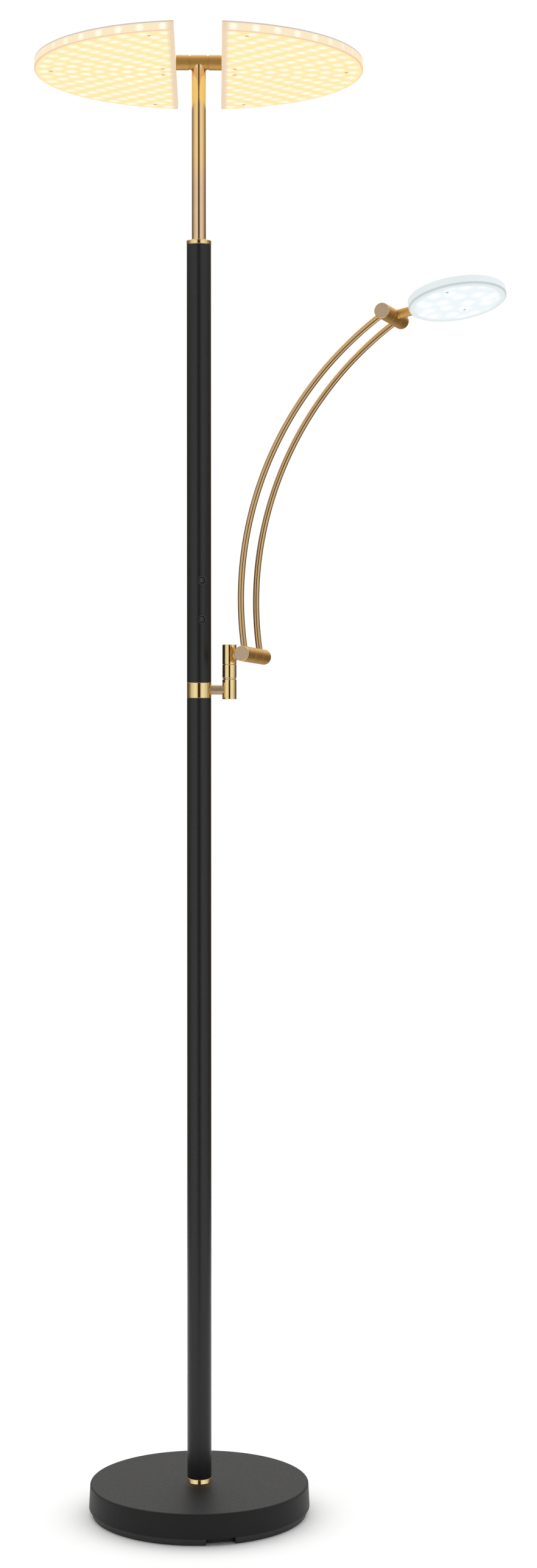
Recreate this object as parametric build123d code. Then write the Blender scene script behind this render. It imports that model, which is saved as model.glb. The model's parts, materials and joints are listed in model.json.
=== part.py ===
"""Torchiere floor lamp with two tilting half-disc light panels and a hinged reading arm.

The lamp stands on the floor: origin at the centre of its foot, +Z up, +X to the right,
-Y to the front. All sizes are in millimetres.
"""
import os
from math import cos, degrees, radians, sin, sqrt

from build123d import *

# ---------------------------------------------------------------- driving sizes
RUN = 0.05              # radial clearance of a pin that turns in its bore
GAP = 0.3               # free space between curved faces that pass each other
OVERCUT = 10.0          # how far a cutting shape reaches past what it cuts

# base
COVER_R_LOW = 136.5
COVER_R_TOP = 135.0
COVER_Z = 8.7           # underside of the cover, where it stands on the foot ring
COVER_TOP = 38.7
COVER_EDGE_R = 2.5
COVER_WALL = 2.0
RING_R = 132.5
RING_WIDTH = 9.0
RING_LIP_H = 4.0
RING_CHAMFER = 0.8
RING_SCREW_HEAD_Z = (0.5, 2.0)
RING_SCREW_TOP = 11.0
RING_SCREW_START = 30.0  # degrees
WEIGHT_R = RING_R - RING_WIDTH
WEIGHT_Z = 1.2          # the felt pad lies below this
WEIGHT_TOP = 34.0
RECESS_R = 18.0         # recess for the nut under the weight
RECESS_TOP = 16.0
PAD_Z = 0.4
NOTCH_ANGLE = 11.5      # degrees from the front towards +X
NOTCH_SPAN = 15.6       # degrees
GROMMET_R = 4.4
GROMMET_BORE_R = 3.2
GROMMET_DEPTH = 10.0
GROMMET_Z = 6.0
DUCT_STOP = 10.0        # the cable duct ends this far short of the axis
DRIVER = (78.0, 40.0, 20.0)
DRIVER_AT = (0.0, 66.0)
DRIVER_ROOM = 1.0
STUD_R = 5.0
STUD_Z = 3.0
NUT_R = 9.5
NUT_Z = (5.8, 13.8)
NUT_WASHER_R = 14.0

# pole
POLE_R = 15.0
POLE_WALL = 1.5
POLE_BORE_R = POLE_R - POLE_WALL
BASE_COLLAR_R = 15.3
BASE_COLLAR_TOP = 44.0
LOWER_TUBE_TOP = 1009.4
MID_COLLAR_TOP = 1028.5
UPPER_TUBE_TOP = 1566.4
TOP_COLLAR_R = 15.2
TOP_COLLAR_TOP = 1572.0
COLLAR_CHAMFER = 0.5
NIPPLE_R = 9.0
WIREWAY_R = 4.0
PLUG_H = 25.0
STEM_R = 8.75
STEM_BORE_R = 7.75

# dimmer buttons on the upper tube
BUTTON_Z = (1106.2, 1154.0)
BUTTON_ANGLE = 13.0     # degrees from the front towards +X
BEZEL_R = 5.7
BEZEL_FACE = 16.2       # distance of the bezel's face from the pole's axis
BEZEL_CHAMFER = 0.6
CAP_R = 3.7
CAP_FACE = 16.0
CAP_EDGE_R = 0.5
BUTTON_TRAVEL = 1.2
BUTTON_SHAFT_R = 2.0
BUTTON_SHAFT_IN = 5.0
NUB_R = 0.6
NUB_X = -2.7
SWITCH = (12.0, 14.0, 14.0)
SWITCH_FACE = 12.0      # distance of the dimmer block's face from the pole's axis

# tee and light panels
TEE_Z = 1790.1
TEE_R = 9.35
TEE_HALF = 28.0         # from the pole's axis to a panel's straight edge
TEE_CENTRE_HALF = 10.0
WASHER_T = 2.1
AXLE_R = 4.0
AXLE_HALF = 20.0
TEE_CHAMFER = 0.4
T_SPIGOT = 32.0         # the tee's spigot reaches this far down into the stem
PANEL_R = 201.7
PANEL_T = 11.8
PANEL_TOP = 0.1         # above the tee's axis
PANEL_WALL = 2.0
PANEL_EDGE_R = 1.5
PANEL_REST_TILT = 1.3   # degrees, front edge up
BOARD_T = 1.6
BRACKET = (48.0, 56.0, 3.0)
TONGUE = (6.5, 12.0)
SCREW_R = 1.5
SCREW_HEAD_R = 2.75
SCREW_HEAD_H = 1.5
BOSS_R = 3.5
BRACKET_SCREWS = ((44.0, -15.0), (44.0, 15.0))
RIM_SCREWS = ((57.0, -173.0), (57.0, 173.0), (181.5, 0.0))
RIM_SCREW_TOP = PANEL_TOP - 0.8

# arm swivel barrel
BARREL_X = 37.4
BARREL_R = 8.75
BARREL_Z = (1007.9, 1032.3, 1034.2, 1050.9, 1075.4)
BARREL_WASHER_R = 8.2
BARREL_CHAMFER = 0.35
SWIVEL_BOLT_R = 4.0
SWIVEL_BOLT_IN = (4.0, 8.0)     # the bolt's ends lie this far inside the barrel's ends
STUB_R = 6.0
STUB_Z = 1019.5
STUB_IN = 4.0           # depth of the stub's end in the mid collar

# arm
ARM_TURN = 21.8         # degrees that the arm points forward of +X
ARM_ROLL = 3.1          # degrees that the arm's pins drop towards the back
KNUCKLE_Z = 1062.0
KNUCKLE_REACH = 31.0    # from the barrel's axis to the lower knuckle's pin
KNUCKLE_R = 9.5
KNUCKLE_HALF = 39.0
KNUCKLE_MID_HALF = 12.9
KNUCKLE_WASHER_T = 0.5
KNUCKLE_CHAMFER = 0.5
PIN_R = 3.0
PIN_HALF = 33.0
ROD_R = 3.9
ROD_BORE_R = 2.9
ROD_OFFSET = 26.0
ROD_ARC_R = 404.5
ROD_START = -10.8       # degrees from the vertical at the lower knuckle
ROD_END = 56.1          # degrees from the vertical at the upper knuckle
ROD_SEAT = 4.6          # distance of a rod's end from the knuckle's axis

# reading head
HEAD_RISE = 12.0        # degrees that the stem rises from the level
HEAD_TWIST = -7.4       # degrees that the disc is turned on its stem
HEAD_REACH = 84.0       # from the knuckle's pin to the disc's centre
HEAD_R = 59.3
HEAD_T = 12.0
HEAD_EDGE_R = 2.0
HEAD_WALL = 1.8
DIFFUSER_T = 2.6
HEAD_STEM_R = 5.8
HEAD_SPIGOT_R = 2.4
HEAD_SPIGOT_IN = 6.0    # depth of the stem's spigot behind the disc's rim
BOSS_FACE = 10.5        # distance of the knuckle boss's face from the pin's axis
SPIGOT_R = 3.5
SPIGOT_START = 4.4      # distance of the spigot's inner end from the pin's axis
BOSS_START = 5.0
HUB_W = 9.0
HEAD_SCREW_SPOTS = ((0.0, -40.4), (0.0, 26.8))
HEAD_SCREW_R = 1.0
HEAD_SCREW_HEAD_R = 1.8
HEAD_SCREW_Z = 0.2      # depth of the screw heads in the diffuser
HEAD_SCREW_HEAD_H = 1.0
HEAD_BOSS_R = 3.0

PARTS = {}


# ---------------------------------------------------------------- helpers
def tube(outer, inner, z0, z1):
    """A round tube about Z."""
    height = z1 - z0
    middle = Pos(0, 0, (z0 + z1) / 2)
    body = Cylinder(outer, height)
    if inner:
        body -= Cylinder(inner, height)
    return middle * body


def rod_x(radius, x0, x1):
    """A round bar along X."""
    return Pos((x0 + x1) / 2, 0, 0) * Rot(0, 90, 0) * Cylinder(radius, x1 - x0)


def rod_z(radius, z0, z1, x=0.0, y=0.0):
    """A round bar along Z at a place in the plane."""
    return Pos(x, y, (z0 + z1) / 2) * Cylinder(radius, z1 - z0)


def chamfer_rims(part, axis, size, keep=lambda edge: True):
    """Break the round edges at a part's two ends along an axis."""
    rims = part.edges().filter_by(GeomType.CIRCLE)
    ends = [rims.group_by(axis)[0], rims.group_by(axis)[-1]]
    picked = [edge for group in ends for edge in group if keep(edge)]
    return chamfer(picked, size)


def outer_rim(radius):
    """A test for edges as wide as a part's outside."""
    return lambda edge: abs(edge.radius - radius) < 0.01


def grouped(solids):
    """Like pieces kept as separate solids in one node."""
    return Compound(children=list(solids))


# ---------------------------------------------------------------- frames of the arm
PANEL_TILT = Pos(0, 0, TEE_Z) * Rot(-PANEL_REST_TILT, 0, 0)

turn, roll = radians(ARM_TURN), radians(ARM_ROLL)
ARM_OUT = Vector(cos(turn), -sin(turn), 0)
ARM_BACK = Vector(sin(turn) * cos(roll), cos(turn) * cos(roll), -sin(roll))
LOWER_PIN = Vector(BARREL_X, 0, KNUCKLE_Z) + ARM_OUT * KNUCKLE_REACH
# local X points out along the arm, local Y up, local Z along the pins to the front
LOWER = Plane(origin=LOWER_PIN, x_dir=ARM_OUT, z_dir=ARM_BACK * -1)

start, end = radians(ROD_START), radians(ROD_END)
RISE_OUT = ROD_ARC_R * (cos(start) - cos(end))
RISE_UP = ROD_ARC_R * (sin(end) - sin(start))
UPPER_PIN = LOWER_PIN + ARM_OUT * RISE_OUT + LOWER.y_dir * RISE_UP
UPPER = Plane(origin=UPPER_PIN, x_dir=ARM_OUT, z_dir=ARM_BACK * -1)

# local X runs out along the reading stem, local Z is the disc's upward normal
STEM_FRAME = UPPER.location * Rot(0, 0, HEAD_RISE) * Rot(-90, 0, 0)
HEAD = STEM_FRAME * Rot(HEAD_TWIST, 0, 0)


# ---------------------------------------------------------------- base
def base_cover():
    """Pressed steel cover: a shallow drum, open below, with a rolled top edge."""
    outer = Cone(COVER_R_LOW, COVER_R_TOP, COVER_TOP - COVER_Z)
    outer = Pos(0, 0, (COVER_TOP + COVER_Z) / 2) * outer
    outer = fillet(outer.edges().group_by(Axis.Z)[-1], COVER_EDGE_R)
    hollow_h = COVER_TOP - COVER_WALL - COVER_Z
    hollow = Cone(COVER_R_LOW - COVER_WALL, COVER_R_TOP - COVER_WALL, hollow_h)
    hollow = Pos(0, 0, COVER_Z + hollow_h / 2) * hollow
    return outer - hollow - rod_z(STUD_R, COVER_Z, COVER_TOP)


def notch_tool():
    """The space of the cable notch: a sector through the foot ring."""
    reach = RING_R + OVERCUT
    half = radians(NOTCH_SPAN / 2)
    face = Polygon((0, 0), (reach, -reach * sin(half)), (reach, reach * sin(half)), align=None)
    tool = extrude(face, COVER_Z)
    return Rot(0, 0, NOTCH_ANGLE - 90) * tool


def foot_ring():
    """Moulded foot ring with a lip inside the cover and a notch for the cable."""
    band = tube(RING_R, WEIGHT_R, 0, COVER_Z)
    band = chamfer(band.edges().group_by(Axis.Z)[0], RING_CHAMFER)
    lip = tube(COVER_R_LOW - COVER_WALL - GAP, WEIGHT_R, COVER_Z, COVER_Z + RING_LIP_H)
    ring = band - notch_tool()
    return ring + lip - ring_screw_solids()


def ring_screw_solids():
    """Six countersunk screws from below through the foot ring into its lip."""
    middle = (RING_R + WEIGHT_R) / 2
    head = rod_z(SCREW_HEAD_R, *RING_SCREW_HEAD_Z)
    screw = head + rod_z(SCREW_R, RING_SCREW_HEAD_Z[1], RING_SCREW_TOP)
    spots = PolarLocations(middle, 6, start_angle=RING_SCREW_START)
    return Part() + [place * screw for place in spots]


def ring_screws():
    """The foot ring's screws as separate solids."""
    return grouped(ring_screw_solids().solids())


def stud_solid():
    """Threaded stud that ties the weight, the cover and the pole together."""
    return rod_z(STUD_R, STUD_Z, BASE_COLLAR_TOP + PLUG_H)


def driver_box(grow):
    """The LED driver's box, or with grow its pocket in the weight."""
    length, width, height = DRIVER
    box = Box(length + 2 * grow, width + 2 * grow, height + grow)
    z = WEIGHT_TOP - (height + grow) / 2
    return Pos(DRIVER_AT[0], DRIVER_AT[1], z) * box


def grommet_frame():
    """Place at the notch's back wall: local Z points out of the notch."""
    a = radians(NOTCH_ANGLE)
    outward = Vector(sin(a), -cos(a), 0)
    origin = outward * (WEIGHT_R - GAP) + Vector(0, 0, GROMMET_Z)
    return Plane(origin=origin, x_dir=(0, 0, 1), z_dir=outward)


def cable_grommet():
    """Rubber bush of the cable inlet, in the weight's edge behind the notch."""
    return grommet_frame() * tube(GROMMET_R, GROMMET_BORE_R, -GROMMET_DEPTH, 0)


def base_weight():
    """Cast iron disc with a pocket for the driver and a cable duct to it."""
    disc = tube(WEIGHT_R, STUD_R, WEIGHT_Z, WEIGHT_TOP)
    disc -= rod_z(RECESS_R, WEIGHT_Z, RECESS_TOP)
    disc -= driver_box(DRIVER_ROOM)
    seat = rod_z(GROMMET_R, -GROMMET_DEPTH, 0)
    duct = rod_z(GROMMET_BORE_R, DUCT_STOP - WEIGHT_R, 0)
    return disc - grommet_frame() * seat - grommet_frame() * duct


def bottom_pad():
    """Felt disc under the weight."""
    return tube(WEIGHT_R - 1.0, RECESS_R, PAD_Z, WEIGHT_Z)


def stud_fixings():
    """Washer and hexagon nut on the stud, in the weight's lower recess."""
    washer = tube(NUT_WASHER_R, STUD_R, NUT_Z[1], RECESS_TOP)
    nut = Pos(0, 0, NUT_Z[0]) * extrude(RegularPolygon(NUT_R, 6), NUT_Z[1] - NUT_Z[0])
    return grouped([washer, nut - rod_z(STUD_R, *NUT_Z)])


def base_collar():
    """Thin brass collar between the cover and the pole."""
    collar = tube(BASE_COLLAR_R, STUD_R, COVER_TOP, BASE_COLLAR_TOP)
    return chamfer_rims(collar, Axis.Z, COLLAR_CHAMFER, outer_rim(BASE_COLLAR_R))


# ---------------------------------------------------------------- pole
def plug(z0, z1, bore):
    """Steel plug pressed into the end of a pole tube."""
    return tube(POLE_BORE_R, bore, z0, z1)


def upper_tube():
    """Upper pole tube with two round holes for the dimmer buttons."""
    body = tube(POLE_R, POLE_BORE_R, MID_COLLAR_TOP, UPPER_TUBE_TOP)
    for z in BUTTON_Z:
        body -= button_frame(z) * rod_z(BEZEL_R, POLE_R - OVERCUT, POLE_R + OVERCUT)
    return body


def mid_collar():
    """Brass collar between the tubes; the arm's stub is screwed into it."""
    collar = tube(POLE_R, NIPPLE_R, LOWER_TUBE_TOP, MID_COLLAR_TOP)
    collar = chamfer_rims(collar, Axis.Z, COLLAR_CHAMFER, outer_rim(POLE_R))
    return collar - arm_stub()


def top_collar():
    """Brass collar that closes the upper tube around the stem."""
    collar = tube(TOP_COLLAR_R, STEM_R, UPPER_TUBE_TOP, TOP_COLLAR_TOP)
    return chamfer_rims(collar, Axis.Z, COLLAR_CHAMFER, outer_rim(TOP_COLLAR_R))


def stem_tube():
    """Brass stem from the pole to the tee, cut to the tee's round underside."""
    stem = tube(STEM_R, STEM_BORE_R, UPPER_TUBE_TOP - PLUG_H, TEE_Z)
    return stem - Pos(0, 0, TEE_Z) * rod_x(TEE_R, -TEE_HALF, TEE_HALF)


# ---------------------------------------------------------------- dimmer buttons
def button_frame(z):
    """Frame on the pole's axis at a height: local Z points out through a button."""
    a = radians(BUTTON_ANGLE)
    return Plane(origin=(0, 0, z), x_dir=(cos(a), sin(a), 0), z_dir=(sin(a), -cos(a), 0))


def bezel():
    """Ring around a button with a dished face."""
    ring = tube(BEZEL_R, CAP_R + GAP, SWITCH_FACE, BEZEL_FACE)
    return chamfer_rims(ring, Axis.Z, BEZEL_CHAMFER, outer_rim(BEZEL_R))


def switch_module():
    """Push-button dimmer block behind a bezel, bored for the button's shaft."""
    depth = SWITCH[2]
    block = Pos(0, 0, SWITCH_FACE - depth / 2) * Box(*SWITCH)
    return block - rod_z(BUTTON_SHAFT_R + RUN, SWITCH_FACE - depth / 2, SWITCH_FACE)


def button(with_nub):
    """Button cap on its shaft; the reading light's has a small nub to feel for."""
    back = SWITCH_FACE + BUTTON_TRAVEL + GAP
    cap = rod_z(CAP_R, back, CAP_FACE)
    cap = fillet(cap.edges().group_by(Axis.Z)[-1], CAP_EDGE_R)
    cap += rod_z(BUTTON_SHAFT_R, SWITCH_FACE - BUTTON_SHAFT_IN, back)
    if with_nub:
        cap += Pos(NUB_X, 0, CAP_FACE) * Sphere(NUB_R)
    return cap


# ---------------------------------------------------------------- tee and panels
def t_fitting():
    """Centre of the tee with a spigot down into the stem."""
    centre = rod_x(TEE_R, -TEE_CENTRE_HALF, TEE_CENTRE_HALF)
    spigot = rod_z(STEM_BORE_R, -T_SPIGOT, 0) - rod_z(WIREWAY_R, -T_SPIGOT, 2 - TEE_R)
    return Pos(0, 0, TEE_Z) * (centre + spigot - rod_x(AXLE_R, -AXLE_HALF, AXLE_HALF))


def t_washers():
    """Thin friction washers on both sides of the tee's centre."""
    x0, x1 = TEE_CENTRE_HALF, TEE_CENTRE_HALF + WASHER_T
    washer = rod_x(TEE_R - 0.5, x0, x1) - rod_x(AXLE_R, x0, x1)
    return grouped([Pos(0, 0, TEE_Z) * washer, Pos(0, 0, TEE_Z) * Rot(0, 0, 180) * washer])


def t_axle():
    """Axle through the tee that both panels tilt on."""
    return Pos(0, 0, TEE_Z) * rod_x(AXLE_R, -AXLE_HALF, AXLE_HALF)


def panel_bracket():
    """Steel plate inside a panel with a tongue into the tee's end."""
    length, width, thick = BRACKET
    top = PANEL_TOP - PANEL_WALL
    x0 = TEE_HALF + PANEL_WALL
    plate = Pos(x0 + length / 2, 0, top - thick / 2) * Box(length, width, thick)
    t0 = TEE_HALF - TONGUE[0]
    tongue_l = TONGUE[0] + PANEL_WALL
    tongue = Pos(t0 + tongue_l / 2, 0, top - thick / 2) * Box(tongue_l, TONGUE[1], thick)
    return plate + tongue


def t_end():
    """End of the tee that carries a panel, with a blind bore for the axle."""
    x0 = TEE_CENTRE_HALF + WASHER_T + 0.1
    body = rod_x(TEE_R, x0, TEE_HALF)
    body = chamfer_rims(body, Axis.X, TEE_CHAMFER)
    return body - rod_x(AXLE_R + RUN, x0, AXLE_HALF + 0.5) - panel_bracket()


def panel_outline(inset):
    """Segment of a circle with its straight edge beside the tee, in plan."""
    radius = PANEL_R - inset
    x0 = TEE_HALF + inset
    half = sqrt(radius ** 2 - x0 ** 2)
    arc = ThreePointArc((x0, -half), (radius, 0), (x0, half))
    edge = Line((x0, half), (x0, -half))
    return make_face([arc, edge])


def panel_slab(inset, z0, z1):
    """A slab of the panel's outline between two heights."""
    return Pos(0, 0, z0) * extrude(panel_outline(inset), z1 - z0)


BOTTOM = PANEL_TOP - PANEL_T
LID = PANEL_TOP - PANEL_WALL
BOARD_Z = LID - BRACKET[2] - BOARD_T


def panel_screw(x, y, top):
    """One panel screw, head down and flush with the diffuser's underside."""
    head = rod_z(SCREW_HEAD_R, BOTTOM, BOTTOM + SCREW_HEAD_H, x, y)
    return head + rod_z(SCREW_R, BOTTOM, top, x, y)


def panel_screws():
    """Two screws into the bracket and three into the lid."""
    short = [panel_screw(x, y, LID) for x, y in BRACKET_SCREWS]
    long = [panel_screw(x, y, RIM_SCREW_TOP) for x, y in RIM_SCREWS]
    return short + long


def lower_diffuser():
    """Frosted acrylic tray: floor, rim and screw bosses."""
    tray = panel_slab(0, BOTTOM, LID)
    tray = fillet(tray.edges().group_by(Axis.Z)[0], PANEL_EDGE_R)
    tray -= panel_slab(PANEL_WALL, BOTTOM + PANEL_WALL, LID)
    for x, y in BRACKET_SCREWS:
        tray += rod_z(BOSS_R, BOTTOM + 1, BOARD_Z, x, y)
    for x, y in RIM_SCREWS:
        tray += rod_z(BOSS_R, BOTTOM + 1, LID, x, y)
    tray -= panel_bracket()
    for screw in panel_screws():
        tray -= screw
    return tray


def upper_cover():
    """Frosted acrylic lid of a panel."""
    lid = panel_slab(0, LID, PANEL_TOP)
    lid = fillet(lid.edges().group_by(Axis.Z)[-1], 1.0)
    for screw in panel_screws():
        lid -= screw
    return lid


def led_board():
    """Half-disc circuit board that carries the LEDs."""
    board = panel_slab(PANEL_WALL + 2.0, BOARD_Z, BOARD_Z + BOARD_T)
    for x, y in RIM_SCREWS:
        board -= rod_z(BOSS_R + 0.2, BOARD_Z, LID, x, y)
    for x, y in BRACKET_SCREWS:
        board -= rod_z(SCREW_R, BOARD_Z, LID, x, y)
    return board


def bracket_plate():
    """The bracket with its screw holes."""
    plate = panel_bracket()
    for screw in panel_screws():
        plate -= screw
    return plate


def panel_nodes(side, mirrored):
    """All pieces of one panel, named for its side."""
    flip = Rot(0, 0, 180) if mirrored else Rot(0, 0, 0)
    place = PANEL_TILT * flip
    PARTS[side + "_t_end"] = place * t_end()
    PARTS[side + "_panel_bracket"] = place * bracket_plate()
    PARTS[side + "_lower_diffuser"] = place * lower_diffuser()
    PARTS[side + "_upper_cover"] = place * upper_cover()
    PARTS[side + "_led_board"] = place * led_board()
    PARTS[side + "_panel_screws"] = place * grouped(panel_screws())


# ---------------------------------------------------------------- swivel barrel
def barrel(z0, z1):
    """A round section of the barrel with lightly broken edges."""
    return chamfer_rims(rod_z(BARREL_R, z0, z1, BARREL_X), Axis.Z, BARREL_CHAMFER)


def arm_stub():
    """Brass stub from the mid collar to the barrel."""
    stub = rod_x(STUB_R, POLE_R - STUB_IN, BARREL_X - SWIVEL_BOLT_R - 0.6)
    return Pos(0, 0, STUB_Z) * stub


def swivel_bolt():
    """Bolt fixed in the lower section that the arm swivels on."""
    bottom, top = SWIVEL_BOLT_IN
    return rod_z(SWIVEL_BOLT_R, BARREL_Z[0] + bottom, BARREL_Z[4] - top, BARREL_X)


def barrel_lower():
    """Fixed section of the barrel."""
    return barrel(BARREL_Z[0], BARREL_Z[1]) - arm_stub() - swivel_bolt()


def barrel_washer():
    """Nylon washer that shows as a dark line in the barrel."""
    washer = rod_z(BARREL_WASHER_R, BARREL_Z[1], BARREL_Z[2] - 0.1, BARREL_X)
    return washer - swivel_bolt()


def swivel_bore():
    """Running bore for the swivel bolt."""
    top = BARREL_Z[4] - SWIVEL_BOLT_IN[1] + 0.5
    return rod_z(SWIVEL_BOLT_R + RUN, BARREL_Z[2] - 1, top, BARREL_X)


def knuckle_stub():
    """Brass stub from the barrel to the lower knuckle."""
    x0 = SWIVEL_BOLT_R + 0.8 - KNUCKLE_REACH
    return LOWER * rod_x(STUB_R, x0, -PIN_R - 1.2)


def barrel_middle():
    """Friction sleeve of the barrel, turns with the arm."""
    return barrel(BARREL_Z[2], BARREL_Z[3]) - swivel_bore()


def barrel_upper():
    """Top section of the barrel; the arm's stub is screwed into it."""
    return barrel(BARREL_Z[3], BARREL_Z[4]) - swivel_bore() - knuckle_stub()


# ---------------------------------------------------------------- knuckles and rods
def knuckle_pin():
    """Hinge pin through a knuckle, about local Z."""
    return rod_z(PIN_R, -PIN_HALF, PIN_HALF)


def knuckle_washer():
    """Nylon washer between two sections of a knuckle, on its front side."""
    z0 = KNUCKLE_MID_HALF + RUN
    return tube(KNUCKLE_R - 0.5, PIN_R, z0, z0 + KNUCKLE_WASHER_T)


def knuckle_end():
    """End section of a knuckle on its front side, blind bored for the pin."""
    z0 = KNUCKLE_MID_HALF + RUN + KNUCKLE_WASHER_T
    body = rod_z(KNUCKLE_R, z0, KNUCKLE_HALF)
    return chamfer_rims(body, Axis.Z, KNUCKLE_CHAMFER) - knuckle_pin()


def knuckle_middle():
    """Middle section of a knuckle with a running bore."""
    body = rod_z(KNUCKLE_R, -KNUCKLE_MID_HALF, KNUCKLE_MID_HALF)
    body = chamfer_rims(body, Axis.Z, BARREL_CHAMFER)
    return body - rod_z(PIN_R + RUN, -KNUCKLE_HALF, KNUCKLE_HALF)


FLIP = Rot(180, 0, 0)   # turns a front section into a back one


def arm_rod(radius, trim):
    """A curved bar in the arm's plane, from near one pin to near the other."""
    skip = degrees(trim / ROD_ARC_R)
    first = ROD_START + skip
    sweep_angle = ROD_END - ROD_START - 2 * skip
    centre = (ROD_ARC_R * cos(start), -ROD_ARC_R * sin(start))
    path = CenterArc(centre, ROD_ARC_R, 180 - first, -sweep_angle)
    section = Plane(origin=path @ 0, z_dir=path % 0) * Circle(radius)
    return sweep(section, path)


def arm_tube(side):
    """One of the arm's two brass tubes; side is 1 at the front and -1 at the back."""
    bar = arm_rod(ROD_R, ROD_SEAT) - arm_rod(ROD_BORE_R, ROD_SEAT)
    return LOWER * (Pos(0, 0, side * ROD_OFFSET) * bar)


def arm_seat(side):
    """The full round space that a tube takes, for its holes in the knuckles."""
    return LOWER * (Pos(0, 0, side * ROD_OFFSET) * arm_rod(ROD_R, ROD_SEAT))


def stem_socket():
    """Running bore in the upper knuckle's boss for the reading stem's spigot."""
    return STEM_FRAME * rod_x(SPIGOT_R + RUN, SPIGOT_START - 0.4, BOSS_FACE + OVERCUT)


def upper_knuckle_middle():
    """Middle section of the upper knuckle with the boss that holds the stem."""
    boss = STEM_FRAME * rod_x(HEAD_STEM_R, BOSS_START, BOSS_FACE)
    return UPPER * knuckle_middle() + boss - stem_socket()


# ---------------------------------------------------------------- reading head
def reading_stem():
    """Short stem from the upper knuckle into the reading disc."""
    rim_x = HEAD_REACH - HEAD_R
    stem = rod_x(HEAD_STEM_R, BOSS_FACE + 0.1, rim_x + HEAD_EDGE_R - 0.1)
    stem = chamfer(stem.edges().group_by(Axis.X)[0], 0.3)
    disc = fillet(Cylinder(HEAD_R, HEAD_T).edges(), HEAD_EDGE_R)
    stem -= Pos(HEAD_REACH, 0, 0) * disc
    stem += rod_x(HEAD_SPIGOT_R, rim_x - 2.0, rim_x + HEAD_SPIGOT_IN)
    return HEAD * (stem + rod_x(SPIGOT_R, SPIGOT_START, BOSS_FACE + 1))


HEAD_LOW = -HEAD_T / 2
HEAD_SEAM = HEAD_LOW + DIFFUSER_T
HEAD_ROOF = HEAD_T / 2 - HEAD_WALL


def head_screw_solids():
    """Two small screws that hold the diffuser to the cover."""
    low = HEAD_LOW + HEAD_SCREW_Z
    screw = rod_z(HEAD_SCREW_R, low, HEAD_ROOF)
    screw += rod_z(HEAD_SCREW_HEAD_R, low, low + HEAD_SCREW_HEAD_H)
    return [Pos(x, y, 0) * screw for x, y in HEAD_SCREW_SPOTS]


def without_head_screws(part):
    """A reading disc piece with its screw holes, moved out along the stem."""
    for screw in head_screw_solids():
        part -= screw
    return HEAD * (Pos(HEAD_REACH, 0, 0) * part)


def reading_cover():
    """Frosted cover of the reading disc: roof, side band and screw bosses."""
    body = rod_z(HEAD_R, HEAD_SEAM, HEAD_T / 2)
    body = fillet(body.edges().group_by(Axis.Z)[-1], HEAD_EDGE_R)
    body -= rod_z(HEAD_R - HEAD_WALL, HEAD_SEAM, HEAD_ROOF)
    for x, y in HEAD_SCREW_SPOTS:
        body += rod_z(HEAD_BOSS_R, HEAD_SEAM, HEAD_T / 2 - 1.0, x, y)
    hub_l = HEAD_SPIGOT_IN + 1.0
    hub_h = HEAD_T / 2 - 1.0 - HEAD_SEAM
    hub = Pos(1.0 - HEAD_R + hub_l / 2, 0, HEAD_SEAM + hub_h / 2) * Box(hub_l, HUB_W, hub_h)
    seat = rod_x(HEAD_SPIGOT_R, -HEAD_REACH, HEAD_SPIGOT_IN - HEAD_R)
    return without_head_screws(body + hub - seat)


def reading_diffuser():
    """Opal plate that closes the reading disc below."""
    plate = rod_z(HEAD_R, HEAD_LOW, HEAD_SEAM)
    plate = fillet(plate.edges().group_by(Axis.Z)[0], HEAD_EDGE_R)
    return without_head_screws(plate)


def reading_led_board():
    """Round circuit board under the cover's roof."""
    low = HEAD_ROOF - BOARD_T
    board = rod_z(HEAD_R - HEAD_WALL - HEAD_SPIGOT_IN - 1.0, low, HEAD_ROOF)
    for x, y in HEAD_SCREW_SPOTS:
        board -= rod_z(HEAD_BOSS_R + GAP, low, HEAD_ROOF, x, y)
    return HEAD * (Pos(HEAD_REACH, 0, 0) * board)


def reading_screws():
    """The diffuser's screws as separate solids."""
    return HEAD * (Pos(HEAD_REACH, 0, 0) * grouped(head_screw_solids()))


# ---------------------------------------------------------------- assembly
def add_base():
    """Nodes of the base."""
    PARTS["base_cover"] = base_cover()
    PARTS["foot_ring"] = foot_ring()
    PARTS["ring_screws"] = ring_screws()
    PARTS["base_weight"] = base_weight()
    PARTS["bottom_pad"] = bottom_pad()
    PARTS["led_driver"] = driver_box(0.0)
    PARTS["cable_grommet"] = cable_grommet()
    PARTS["pole_stud"] = stud_solid()
    PARTS["stud_fixings"] = stud_fixings()
    PARTS["base_collar"] = base_collar()


def add_pole():
    """Nodes of the pole and the stem."""
    low, high = LOWER_TUBE_TOP, MID_COLLAR_TOP
    PARTS["foot_plug"] = plug(BASE_COLLAR_TOP, BASE_COLLAR_TOP + PLUG_H, STUD_R)
    PARTS["lower_tube"] = tube(POLE_R, POLE_BORE_R, BASE_COLLAR_TOP, low)
    PARTS["mid_plugs"] = grouped([plug(low - PLUG_H, low, NIPPLE_R), plug(high, high + PLUG_H, NIPPLE_R)])
    PARTS["mid_nipple"] = tube(NIPPLE_R, WIREWAY_R, low - PLUG_H, high + PLUG_H) - arm_stub()
    PARTS["mid_collar"] = mid_collar()
    PARTS["upper_tube"] = upper_tube()
    PARTS["top_plug"] = plug(UPPER_TUBE_TOP - PLUG_H, UPPER_TUBE_TOP, STEM_R)
    PARTS["top_collar"] = top_collar()
    PARTS["stem_tube"] = stem_tube()


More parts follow.
